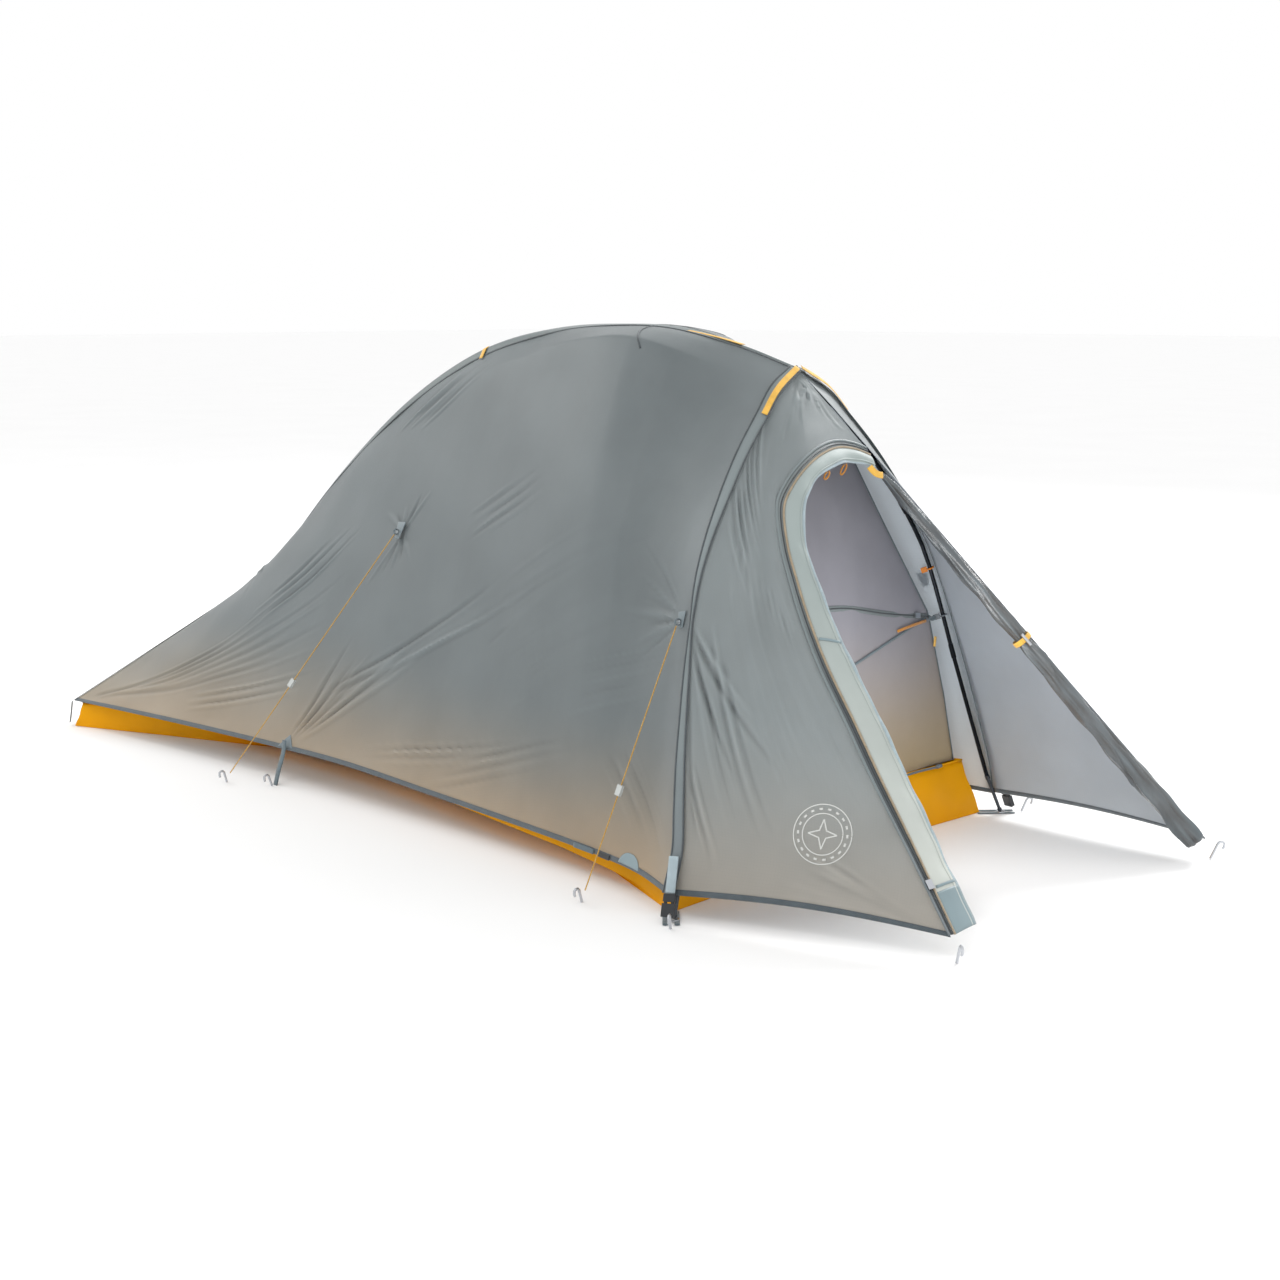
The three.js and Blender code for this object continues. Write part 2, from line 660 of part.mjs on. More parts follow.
function buildVestibule() {
  const forward = (point) => v3(1, Math.sign(point.y) * 0.5, 0.6);
  const leftEdge = (u) => {
    if (u <= 0.84) {
      return seam(-1, 1 - u / 0.84).add(v3(SEAM_GAP, 0, 0));
    }
    return doorCrease(((u - 0.84) / 0.16) * 0.172).add(v3(SEAM_GAP, 0, 0));
  };
  const leftPanel = ruledShell(leftEdge, (u) => zipPoint(u, -6.8), 30, 6, FABRIC, forward, HEM_RISE);
  add('vestibule_left', leftPanel, COLOURS.flyFront);
  const legEdge = (u) => seam(1, 1 - 0.97 * u).add(v3(SEAM_GAP, 1, 0));
  const rollEdge = (u) => doorCrease(1 - 0.97 * u).add(v3(2, 5, 0));
  const rightPanel = ruledShell(legEdge, rollEdge, 20, 6, FABRIC, forward, HEM_RISE * 0.8);
  add('vestibule_right', rightPanel, COLOURS.flyFront);
  add('door_zip', ruledShell((u) => zipPoint(u, -4.6), (u) => zipPoint(u, 4.6), 30, 1, 1.4, forward),
    COLOURS.binding);
  const flapInner = (u) => flapCurve.getPointAt(u);
  add('rain_flap', ruledShell((u) => zipPoint(u, 6.8), flapInner, 30, 2, FABRIC, forward), COLOURS.flap);
  buildDoorRoll();
  const along = zipCurve.getTangentAt(0.08);
  const spot = zipPoint(0.08, 0).addScaledVector(v3(0.75, -0.35, 0.45).normalize(), 4.4);
  add('door_zip_slider', orientedBox(spot, along, v3(0.75, -0.35, 0.45), 17, 12, 4), COLOURS.alloy);
}

function rollPoint(t, radius) {
  const line = doorCrease(t);
  const towards = v3(0.1, -0.75, -0.45).normalize();
  return line.addScaledVector(towards, radius + 9);
}

function buildDoorRoll() {
  const count = 16;
  const radii = [];
  const points = [];
  for (let i = 0; i <= count; i += 1) {
    const t = 0.245 + (i / count) * 0.745;
    const radius = 12 + 8 * (i / count) + (i % 2 ? 0.8 : 0);
    radii.push(i === 0 || i === count ? radius - 4 : radius);
    points.push(rollPoint(t, radius));
  }
  add('rolled_door', tube(points, radii, 10), COLOURS.roll);
  const t = 0.56;
  const centre = rollPoint(t, 15.5);
  const along = doorCrease(1).sub(doorCrease(0)).normalize();
  const ring = new THREE.TorusGeometry(19.4, 1.6, 6, 20);
  ring.applyQuaternion(new THREE.Quaternion().setFromUnitVectors(v3(0, 0, 1), along));
  ring.translate(centre.x, centre.y, centre.z);
  const out = v3(0.62, -0.62, 0.5).addScaledVector(along, -v3(0.62, -0.62, 0.5).dot(along)).normalize();
  add('door_loop', BufferGeometryUtils.mergeVertices(stripAttributes(ring)), COLOURS.tape);
  const pin = centre.clone().addScaledVector(out, 25);
  const bar = [-14, -12.5, 12.5, 14].map((shift) => pin.clone().addScaledVector(along, shift));
  add('door_toggle', tube(bar, [2.2, 3.2, 3.2, 2.2], 8), COLOURS.alloy);
}

function buildTapes() {
  const arms = [0.135, 0.1, 0.065, 0.03];
  const lift = v3(9, 0, 3.2);
  const path = [...arms.map((v) => seam(-1, v).add(lift)), v3(...APEX).add(v3(10, 0, 4.6)),
    ...arms.reverse().map((v) => seam(1, v).add(lift))];
  const facing = (i) => {
    const side = Math.sign(i - 4);
    return v3(0.58, side * 0.42, 0.7).normalize();
  };
  add('apex_tape', strip(path, facing, 13, 1.2), COLOURS.tape);
  const top = [0.078, 0.1, 0.122, 0.144].map((s) => ridgeCurve.getPointAt(s).add(v3(0, 0, 1.2)));
  add('ridge_tape', strip(top, () => v3(0.12, 0, 1).normalize(), 11, 1.2), COLOURS.tape);
}

// ---- corners, stakes and guylines -----------------------------------------------------------
// Stake head and the part of its shaft that stands above the ground.
function stake(name, foot, lean, height) {
  const up = lean.clone().normalize();
  const side = up.clone().cross(v3(0, 0, 1));
  if (side.length() < 0.2) {
    side.set(0, 1, 0);
  }
  side.normalize();
  const hook = up.clone().cross(side).normalize();
  const base = foot.clone().add(v3(0, 0, STAKE_RADIUS * Math.hypot(up.x, up.y) + 0.05));
  const at = (h, out) => base.clone().addScaledVector(up, h).addScaledVector(hook, out);
  const path = [at(0, 0), at(height - 6, 0), at(height - 1.5, 2), at(height, 6.5), at(height - 1.5, 11),
    at(height - 7, 13), at(height - 12, 13)];
  add(name, tube(path, STAKE_RADIUS, 8), COLOURS.alloy);
}

function cornerFrame(side) {
  const up = v3(-10, -20 * side, 60).normalize();
  const out = v3(0.3, side * 0.95, 0);
  out.addScaledVector(up, -out.dot(up)).normalize();
  return { up, out, across: up.clone().cross(out) };
}

function buildCorner(label, side) {
  const { up, out } = cornerFrame(side);
  const base = v3(LEG_FOOT_X, 515 * side, 0).addScaledVector(out, 27);
  const at = (height, offset) => base.clone().addScaledVector(up, height).addScaledVector(out, offset);
  const across = up.clone().cross(out);
  const block = orientedBox(at(16, 0), up, out, 24, 24, 9);
  const slots = [-7, 7].map((shift) => (
    orientedBox(at(22, 0).addScaledVector(across, shift), up, out, 16, 6.6, 5.4)));
  add(`buckle_socket_${label}`, cut(block, ...slots), COLOURS.plastic);
  const prongs = [-7, 7].map((shift) => (
    orientedBox(at(25.4, 0).addScaledVector(across, shift), up, out, 20, 5, 4)));
  const body = orientedBox(at(38, 0), up, out, 14, 22, 7);
  add(`buckle_plug_${label}`, union(body, ...prongs), COLOURS.plastic);
  const strap = orientedBox(at(79, 0), up, out, 66, WEBBING_WIDTH, 2);
  add(`corner_strap_${label}`, strap, COLOURS.webbing);
  stake(`stake_front_${label}`, v3(1152, 553 * side, 0), v3(0.25, 0.35 * side, 1), 34);
}

function buildStakeLoops() {
  for (const [label, side] of [['left', -1], ['right', 1]]) {
    const hem = mirrored(hemCurve.getPointAt(0.595), side);
    const patch = [hem.clone().add(v3(0, 5 * side, 22)), hem.clone().add(v3(0, 9 * side, -4)),
      hem.clone().add(v3(0, 24 * side, -46)), hem.clone().add(v3(0, 34 * side, -78))];
    const facing = v3(0, side, 0.5).normalize();
    add(`stake_loop_${label}`, strip(patch, () => facing, 15, 1.6), COLOURS.strap);
    stake(`stake_side_${label}`, hem.clone().setZ(0).add(v3(0, 44 * side, 0)), v3(0, 0.35 * side, 1), 30);
    const corner = mirrored(hemCurve.getPointAt(1), side);
    const rear = [corner.clone().add(v3(-6, 3 * side, -4)), v3(-1103, 401 * side, 34),
      v3(-1106, 404 * side, 8)];
    add(`foot_strap_${label}`, strip(rear, () => v3(-0.7, 0.7 * side, 0.1).normalize(), 13, 1.6),
      COLOURS.strap);
  }
}

function guyLoop(name, spot, normal, down) {
  const out = normal.clone().normalize();
  const patch = orientedBox(spot.clone().addScaledVector(out, 1.6), down, out, 34, 24, 1.4);
  const eye = spot.clone().addScaledVector(out, 8.4).addScaledVector(down, 6);
  const ring = new THREE.TorusGeometry(5.4, 1.3, 6, 12);
  const across = down.clone().cross(out).normalize();
  ring.applyQuaternion(new THREE.Quaternion().setFromUnitVectors(v3(0, 0, 1), across));
  ring.translate(eye.x, eye.y, eye.z);
  add(name, union(patch, stripAttributes(ring)), COLOURS.alloy);
  return eye;
}

function surfaceFrame(side, s, v) {
  const spot = sidePoint(side, s, v);
  const along = sidePoint(side, s + 0.01, v).sub(sidePoint(side, s - 0.01, v));
  const down = sidePoint(side, s, v + 0.01).sub(sidePoint(side, s, v - 0.01)).normalize();
  const normal = along.cross(down).normalize();
  return { spot, down, normal: normal.y * side < 0 ? normal.negate() : normal };
}

function guyline(label, from, foot) {
  const along = foot.clone().sub(from).normalize();
  const start = from.clone().addScaledVector(along, 7.5);
  const finish = foot.clone().addScaledVector(along, -5);
  add(`guyline_${label}`, tube([start, start.clone().lerp(finish, 0.5), finish], 1.2, 8), COLOURS.cord);
  const lock = start.clone().lerp(finish, 0.62);
  const outer = orientedBox(lock, along, v3(0, -1, 0.3), 20, 12, 7);
  const bore = tube([-14, 14].map((shift) => lock.clone().addScaledVector(along, shift)), 1.7, 8);
  add(`line_lock_${label}`, cut(outer, bore), COLOURS.alloy);
}

function buildGuys() {
  const eyes = {};
  for (const [label, side] of [['left', -1], ['right', 1]]) {
    const high = surfaceFrame(side, 0.52, 0.427);
    eyes[`side_${label}`] = guyLoop(`guy_loop_side_${label}`, high.spot, high.normal, high.down);
    const leg = surfaceFrame(side, 0.015, 0.555);
    const spot = leg.spot.clone().addScaledVector(leg.normal, 1);
    eyes[`leg_${label}`] = guyLoop(`guy_loop_leg_${label}`, spot, leg.normal, leg.down);
  }
  guyline('side', eyes.side_left, v3(-300, -470, 16));
  guyline('leg', eyes.leg_left, v3(930, -545, 16));
  stake('stake_guy_side', v3(-300, -476, 0), v3(0, -0.3, 1), 30);
  stake('stake_guy_leg', v3(930, -551, 0), v3(0, -0.3, 1), 30);
}

function buildVestibuleStakes() {
  for (const [label, corner, lean] of [['left', VESTIBULE_LEFT_CORNER, -0.25],
    ['right', VESTIBULE_RIGHT_CORNER, 0.25]]) {
    const foot = v3(corner[0] + 14, corner[1] + lean * 30, 0);
    stake(`stake_vestibule_${label}`, foot, v3(0.35, lean, 1), 40);
  }
}

buildPoles();
buildStrut();
buildFloor();
buildInner();
buildClips();
buildFlySides();
buildFlyFoot();
buildVestibule();
buildTapes();
buildCorner('left', -1);
buildCorner('right', 1);
buildStakeLoops();
buildGuys();
buildVestibuleStakes();

export default part;
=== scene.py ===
"""Looks of the dome tent: its fly, inner tent, floor, trims and cords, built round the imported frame."""

import math

import bmesh
import bpy
import numpy as np
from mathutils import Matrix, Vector
from mathutils.bvhtree import BVHTree


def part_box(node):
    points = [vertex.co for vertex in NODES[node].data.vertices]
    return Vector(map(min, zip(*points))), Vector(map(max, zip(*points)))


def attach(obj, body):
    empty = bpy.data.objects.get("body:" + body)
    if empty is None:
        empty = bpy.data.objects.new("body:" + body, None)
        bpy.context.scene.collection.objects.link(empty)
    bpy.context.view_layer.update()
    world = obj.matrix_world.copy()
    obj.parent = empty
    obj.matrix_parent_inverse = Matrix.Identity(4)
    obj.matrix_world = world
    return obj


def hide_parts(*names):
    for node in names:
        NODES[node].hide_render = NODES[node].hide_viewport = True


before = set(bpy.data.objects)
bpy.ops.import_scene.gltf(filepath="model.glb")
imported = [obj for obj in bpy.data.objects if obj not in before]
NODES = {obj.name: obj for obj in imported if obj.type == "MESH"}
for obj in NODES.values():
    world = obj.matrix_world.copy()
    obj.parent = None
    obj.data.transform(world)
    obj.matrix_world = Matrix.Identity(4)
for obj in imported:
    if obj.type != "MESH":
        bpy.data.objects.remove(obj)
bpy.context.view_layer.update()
RNG = np.random.default_rng(7)


def mm(values):
    """Numbers in millimetres as an array in metres."""
    return np.array(values, float) * 0.001


# ---- driving dimensions: the tent's own curves ------------------------------------------
APEX = mm([966, 0, 953])
LEG_FOOT_X = 1.125
LEG_LEAN = 0.165
STRUT_X = 0.640
STRUT_LIFT = 0.092
STRUT_SPREAD_FRONT = 0.135
CREST_POWER = 0.62
STRUT_SPREAD_BACK = 0.330
HEM_RISE = 0.012
V_LEFT = mm([1602, -350, 40])
V_RIGHT = mm([1606, 492, 40])
FLOOR_LENGTH = 2.180
FLOOR_END_BOW = 0.014
FLOOR_FLAT_SHARE = 0.72
TRAY_LEAN = 0.016
HEAD_LEAN = 0.034
HEAD_LEAN_FROM = 0.850
CLOTH = 0.0009
BINDING_WIDTH = 0.0095
SIDES = ((-1, "left"), (1, "right"))
WELD_DISTANCE = 0.0004
RIDGE = mm([[966, 953], [822, 994], [669, 1020], [520, 1030], [310, 1023], [67, 974],
            [-199, 852], [-473, 660], [-643, 511], [-800, 381]])
RIDGE_TAIL = mm([[-800, 381], [-935, 242], [-1075, 108]])
LEG = mm([[0, 515], [60, 487], [180, 452], [275, 426], [372, 400], [442, 383], [520, 362],
          [577, 342], [640, 306], [715, 250], [790, 188], [855, 124], [905, 62]])
SIDE_HEM = mm([[1106, 509, 42], [999, 472, 51], [880, 449, 55], [674, 430, 61], [332, 405, 69],
               [10, 390, 79], [-260, 380, 76], [-650, 382, 72], [-1093, 396, 67]])
FLOOR_SIDE = mm([[1090, 485, 0], [1045, 462, 3], [956, 425, 10], [850, 408, 18], [709, 388, 26],
                 [480, 358, 32], [245, 318, 34], [0, 282, 35], [-260, 262, 35], [-480, 256, 34],
                 [-716, 252, 28], [-887, 325, 12], [-1090, 400, 0]])
RIM_HEIGHT = mm([[-1090, 58], [-850, 74], [-500, 98], [0, 118], [1090, 120]])
ZIP_LINE = mm([[-349, 42], [-330, 154], [-312, 269], [-297, 353], [-281, 447], [-263, 520],
               [-243, 585], [-222, 643], [-187, 711], [-153, 746], [-111, 778], [-56, 801],
               [5, 810], [52, 804], [86, 792]])
FLAP_LINE = mm([[-279, 45], [-272, 151], [-265, 259], [-251, 366], [-233, 478], [-225, 515],
                [-216, 552], [-190, 642], [-152, 709], [-127, 735], [-97, 755], [-33, 772],
                [10, 777], [48, 773], [82, 763]])
INNER_EDGE = mm([[124, 416], [230, 391], [345, 367], [440, 348], [640, 231], [764, 172], [884, 8]])
INNER_GAP = mm([[124, 38], [263, 22], [440, 14], [640, 20], [884, 44]])
INNER_ZIP = mm([[338, 436], [200, 457], [59, 483], [-80, 482], [-190, 452], [-262, 396],
                [-296, 310], [-304, 170]])

# The two guylines, from the eye on the fly to the stake.
GUY_FEET = {"side": mm([-300, -470, 16]), "leg": mm([930, -545, 16])}
GUY_SPOTS = {"side": (0.52, 0.427), "leg": (0.015, 0.555)}
CORD_DIAMETER = 0.0024


# ---- curves and surfaces ------------------------------------------------------------------
def column(table, x):
    """Straight-line value of a table at x, whichever way its first column runs."""
    rows = table[np.argsort(table[:, 0])]
    return np.interp(x, rows[:, 0], rows[:, 1])


def unit(vectors):
    vectors = np.asarray(vectors, float)
    length = np.linalg.norm(vectors, axis=-1, keepdims=True)
    return vectors / np.maximum(length, 1e-12)


class Curve:
    """Centripetal Catmull-Rom curve through points, read by its share of length."""

    def __init__(self, points):
        self.points = np.asarray(points, float)
        self.steps = np.linspace(0, 1, 1601)
        dense = self.raw(self.steps)
        walked = np.cumsum(np.linalg.norm(np.diff(dense, axis=0), axis=1))
        self.length = float(walked[-1])
        self.share = np.concatenate([[0], walked]) / self.length

    def raw(self, t):
        p = self.points
        ends = np.vstack([2 * p[0] - p[1], p, 2 * p[-1] - p[-2]])
        place = np.clip(np.asarray(t, float), 0, 1) * (len(p) - 1)
        k = np.minimum(place.astype(int), len(p) - 2)
        w = (place - k)[..., None]
        a, b, c, d = ends[k], ends[k + 1], ends[k + 2], ends[k + 3]
        gap = [np.sqrt(np.linalg.norm(n - m, axis=-1, keepdims=True)) for m, n in ((a, b), (b, c), (c, d))]
        t1 = ((b - a) / gap[0] - (c - a) / (gap[0] + gap[1]) + (c - b) / gap[1]) * gap[1]
        t2 = ((c - b) / gap[1] - (d - b) / (gap[1] + gap[2]) + (d - c) / gap[2]) * gap[1]
        return b + t1 * w + (-3 * b + 3 * c - 2 * t1 - t2) * w ** 2 + (2 * b - 2 * c + t1 + t2) * w ** 3

    def at(self, u):
        return self.raw(np.interp(u, self.share, self.steps))

    def tangent(self, u):
        u = np.asarray(u, float)
        return unit(self.at(np.minimum(u + 0.002, 1)) - self.at(np.maximum(u - 0.002, 0)))


def lifted(rows):
    """Points of a table of x, z, in the tent's middle plane."""
    return np.stack([rows[:, 0], 0 * rows[:, 0], rows[:, 1]], axis=1)


RIDGE_CURVE = Curve(lifted(RIDGE))
TAIL_CURVE = Curve(lifted(RIDGE_TAIL))
HEM_CURVE = Curve(SIDE_HEM)


def leg_seam():
    """Curve over a front leg, from the apex to the hem's head corner, on the +Y side."""
    points = [APEX]
    for z in mm([912, 865, 800, 725, 650, 585, 520, 440, 360, 275, 190, 120]):
        swell = math.sin(math.pi * z / 0.62) ** 2 if z < 0.62 else 0
        y = column(LEG, z) + 0.015 + 0.013 * swell
        points.append([LEG_FOOT_X - LEG_LEAN * z + 0.004, y, z])
    points.append(mm([1108, 511, 44]))
    return Curve(points)


SEAM_CURVE = leg_seam()


def seam(side, v):
    return SEAM_CURVE.at(v) * (1, side, 1)


def seam_bulge(side, v):
    v = np.asarray(v, float)[..., None]
    return seam(side, v[..., 0]) - (seam(side, 0.0) * (1 - v) + seam(side, 1.0) * v)


def side_point(side, s, v):
    """The fly over one side: s runs from the front legs to the foot crease, v from ridge to hem."""
    s, v = np.broadcast_arrays(np.asarray(s, float), np.asarray(v, float))
    top = RIDGE_CURVE.at(s)
    hem = HEM_CURVE.at(s) * (1, side, 1)
    drop = top[..., 2] - hem[..., 2]
    outward = unit(np.stack([0 * drop, side * drop, np.abs(hem[..., 1])], axis=-1))
    crest = np.where(v < 0.07, (np.maximum(v, 0) / 0.07) ** CREST_POWER, (1 - v) / 0.93)
    spread = np.where(top[..., 0] > STRUT_X, STRUT_SPREAD_FRONT, STRUT_SPREAD_BACK)
    lift = STRUT_LIFT * np.exp(-((top[..., 0] - STRUT_X) / spread) ** 2) * crest * np.minimum(1, s / 0.12)
    fade = np.maximum(0, 1 - s / 0.62) ** 1.8
    return (top + (hem - top) * v[..., None] + seam_bulge(side, v) * fade[..., None]
            + outward * lift[..., None])


def vestibule_point(y, z):
    """Where the line through y, z along X meets the closed vestibule."""
    t = (APEX[2] - z) / (APEX[2] - V_LEFT[2])
    if V_LEFT[1] * t <= y <= V_RIGHT[1] * t:
        return np.array([APEX[0] + (V_LEFT[0] - APEX[0]) * t, y, z])
    side, corner = (-1, V_LEFT) if y < V_LEFT[1] * t else (1, V_RIGHT)
    feet = seam(side, np.linspace(0, 1, 401))
    along = np.clip((z - feet[:, 2]) / (corner[2] - feet[:, 2]), 0, 1)[:, None]
    spots = feet + (corner - feet) * along
    return spots[np.argmin(np.abs(spots[:, 1] - y) + np.abs(spots[:, 2] - z))]


ZIP_CURVE = Curve([vestibule_point(y, z) for y, z in ZIP_LINE])
FLAP_CURVE = Curve([vestibule_point(y, z) for y, z in FLAP_LINE])


def zip_point(u, shift):
    return ZIP_CURVE.at(u) + unit(FLAP_CURVE.at(u) - ZIP_CURVE.at(u)) * shift


def door_crease(t):
    """Line from the apex to the right vestibule corner."""
    return APEX + (V_RIGHT - APEX) * np.asarray(t, float)[..., None]


def grid_normals(points, outward):
    """Unit normals of a grid of points, turned the way outward points."""
    du = np.gradient(points, axis=0)
    dv = np.gradient(points, axis=1)
    normal = unit(np.cross(du, dv))
    flip = np.sign((normal * outward).sum(-1, keepdims=True))
    return normal * np.where(flip == 0, 1, flip)


# ---- meshes -----------------------------------------------------------------------------------
def grid_faces(columns, rows, start=0, closed=False):
    """Quads of a grid of columns by rows of points; closed joins the last row to the first."""
    faces = []
    for i in range(columns - 1):
        for j in range(rows if closed else rows - 1):
            nj = (j + 1) % rows
            faces.append((start + i * rows + j, start + (i + 1) * rows + j,
                          start + (i + 1) * rows + nj, start + i * rows + nj))
    return faces


def grid_uv(points):
    """UV of a grid in metres along its columns and its rows."""
    du = np.linalg.norm(np.diff(points, axis=0), axis=-1).mean(axis=1)
    dv = np.linalg.norm(np.diff(points, axis=1), axis=-1)
    u = np.concatenate([[0], np.cumsum(du)])[:, None] + 0 * points[..., 0]
    v = np.concatenate([0 * dv[:, :1], np.cumsum(dv, axis=1)], axis=1)
    return np.stack([u, v], axis=-1)


def make(name, points, faces, material, body="tent", uvs=None, smooth=True, slot=None, replaces=()):
    """New mesh piece riding on a body."""
    mesh = bpy.data.meshes.new(name)
    mesh.from_pydata([tuple(p) for p in np.asarray(points).reshape(-1, 3)], [], faces)
    mesh.polygons.foreach_set("use_smooth", [smooth] * len(mesh.polygons))
    for item in material if isinstance(material, list) else [material]:
        mesh.materials.append(item)
    if uvs is not None:
        flat = np.asarray(uvs).reshape(-1, 2)
        layer = mesh.uv_layers.new(name="UVMap")
        index = np.zeros(len(mesh.loops), int)
        mesh.loops.foreach_get("vertex_index", index)
        layer.data.foreach_set("uv", flat[index].ravel())
    obj = bpy.data.objects.new(name, mesh)
    bpy.context.scene.collection.objects.link(obj)
    if body:
        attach(obj, body)
    if replaces:
        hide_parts(*replaces)
    return obj


def joined(name, plan, materials, **more):
    """One piece of several grids: the plan has each grid, its outward direction and its material's index."""
    points, faces, uvs, kinds = [], [], [], []
    start = 0
    for grid, outward, kind in plan:
        found = grid_faces(*grid.shape[:2], start=start)
        i, j = grid.shape[0] // 2, grid.shape[1] // 2
        turned = np.cross(grid[i + 1, j] - grid[i, j], grid[i, j + 1] - grid[i, j])
        if turned @ np.array(outward) < 0:
            found = [face[::-1] for face in found]
        points.append(grid.reshape(-1, 3))
        uvs.append(grid_uv(grid).reshape(-1, 2))
        faces += found
        kinds += [kind] * len(found)
        start += grid.shape[0] * grid.shape[1]
    obj = make(name, np.vstack(points), faces, materials, uvs=np.vstack(uvs), **more)
    obj.data.polygons.foreach_set("material_index", kinds)
    return obj


def welded(obj):
    """Welds points that lie together, and keeps the folds between panels sharp."""
    work = bmesh.new()
    work.from_mesh(obj.data)
    bmesh.ops.remove_doubles(work, verts=work.verts, dist=WELD_DISTANCE)
    work.to_mesh(obj.data)
    work.free()
    obj.data.set_sharp_from_angle(angle=math.radians(38))


def thicken(obj, thickness, inside=0, rim=0):
    """Gives a sheet its thickness; inside and rim are shifts of the material index."""
    solid = obj.modifiers.new("thickness", "SOLIDIFY")
    solid.thickness = thickness
    solid.offset = -1
    solid.material_offset = inside
    solid.material_offset_rim = rim
    solid.use_quality_normals = True
    return obj


def sheet_from(name, points, outward, material, thickness=CLOTH, **more):
    """Piece made of one grid of points, facing outward."""
    faces = grid_faces(*points.shape[:2])
    first = points[:2, :2].reshape(-1, 3)
    facing = np.cross(first[2] - first[0], first[1] - first[0])
    if facing @ np.asarray(outward, float) < 0:
        faces = [face[::-1] for face in faces]
    obj = make(name, points, faces, material, uvs=grid_uv(points), **more)
    return thicken(obj, thickness)


def sweep(name, path, across, up, profile, material, closed_ends=True, **more):
    """Profile of (across, up) offsets in metres carried along a path with given directions."""
    profile = np.asarray(profile, float)
    if profile.ndim == 2:
        profile = np.broadcast_to(profile, (len(path), *profile.shape))
    rings = path[:, None] + across[:, None] * profile[..., :1] + up[:, None] * profile[..., 1:]
    count = profile.shape[1]
    faces = grid_faces(len(path), count, closed=True)
    if closed_ends:
        faces.append(tuple(range(count)))
        faces.append(tuple(range((len(path) - 1) * count, len(path) * count))[::-1])
    along = np.concatenate([[0], np.cumsum(np.linalg.norm(np.diff(path, axis=0), axis=1))])
    round_it = np.linspace(0, 1, count, endpoint=False)
    uvs = np.stack(np.broadcast_arrays(along[:, None], round_it[None]), axis=-1)
    volume_sign = np.dot(np.cross(across[0], up[0]), path[1] - path[0])
    area = sum(profile[0][i - 1][0] * profile[0][i][1] - profile[0][i][0] * profile[0][i - 1][1]
               for i in range(count))
    if volume_sign * area > 0:
        faces = [face[::-1] for face in faces]
    return make(name, rings, faces, material, uvs=uvs, **more)


def all_facing(direction, path):
    """One direction, repeated for every point of a path."""
    return np.broadcast_to(unit(direction), path.shape)


def frames_along(path, normals):
    """Directions across and up along a path that lies on a surface."""
    along = unit(np.gradient(path, axis=0))
    up = unit(normals - along * (normals * along).sum(-1, keepdims=True))
    return np.cross(along, up), up


def ribbon(name, path, normals, width, thickness, material, crown=0.3, **more):
    """Flat tape lying on a surface, its edges thinner than its middle."""
    across, up = frames_along(path, normals)
    width = np.broadcast_to(np.asarray(width, float), (len(path),))
    half = width[:, None] / 2
    shape = np.array([[-1, 0.15], [-0.96, 0.8], [-0.5, 1], [0, 1 + crown], [0.5, 1], [0.96, 0.8],
                      [1, 0.15], [0.5, 0.05], [-0.5, 0.05]])
    profile = np.stack([half * shape[:, 0], 0 * half + thickness * shape[:, 1]], axis=-1)
    return sweep(name, path, across, up, profile, material, **more)


def edging(name, edge, inward, normals, material, width=BINDING_WIDTH, thickness=0.0014, **more):
    """Tape folded over a cloth's edge."""
    shape = np.array([[1, 0.9], [0.94, 1.15], [0.5, 1.25], [0.06, 1.1], [-0.12, 0.35], [-0.12, -0.65],
                      [0.06, -1.5], [0.5, -1.7], [0.94, -1.6], [1, -1.3]])
    inward = unit(inward - normals * (inward * normals).sum(-1, keepdims=True))
    profile = np.stack([shape[:, 0] * width, shape[:, 1] * thickness * 0.8], axis=-1)
    return sweep(name, edge, inward, normals, profile, material, **more)


def ring_profile(radius, sides=10):
    angle = np.linspace(0, 2 * np.pi, sides, endpoint=False)
    return np.stack([np.cos(angle), np.sin(angle)], axis=1) * radius


def rod(name, path, radius, material, sides=12, up=(0, 0, 1), **more):
    """Round bar along a path, with one radius or a radius for each point."""
    path = np.asarray(path, float)
    across, lift = frames_along(path, np.broadcast_to(np.asarray(up, float), path.shape))
    radii = np.broadcast_to(np.asarray(radius, float), (len(path),))
    profile = ring_profile(1.0, sides)[None] * radii[:, None, None]
    return sweep(name, path, across, lift, profile, material, **more)


# ---- materials -----------------------------------------------------------------------------------
def colour(red, green, blue):
    """8-bit screen colour as a linear RGBA."""
    def linear(value):
        value /= 255
        return value / 12.92 if value <= 0.04045 else ((value + 0.055) / 1.055) ** 2.4
    return (linear(red), linear(green), linear(blue), 1.0)


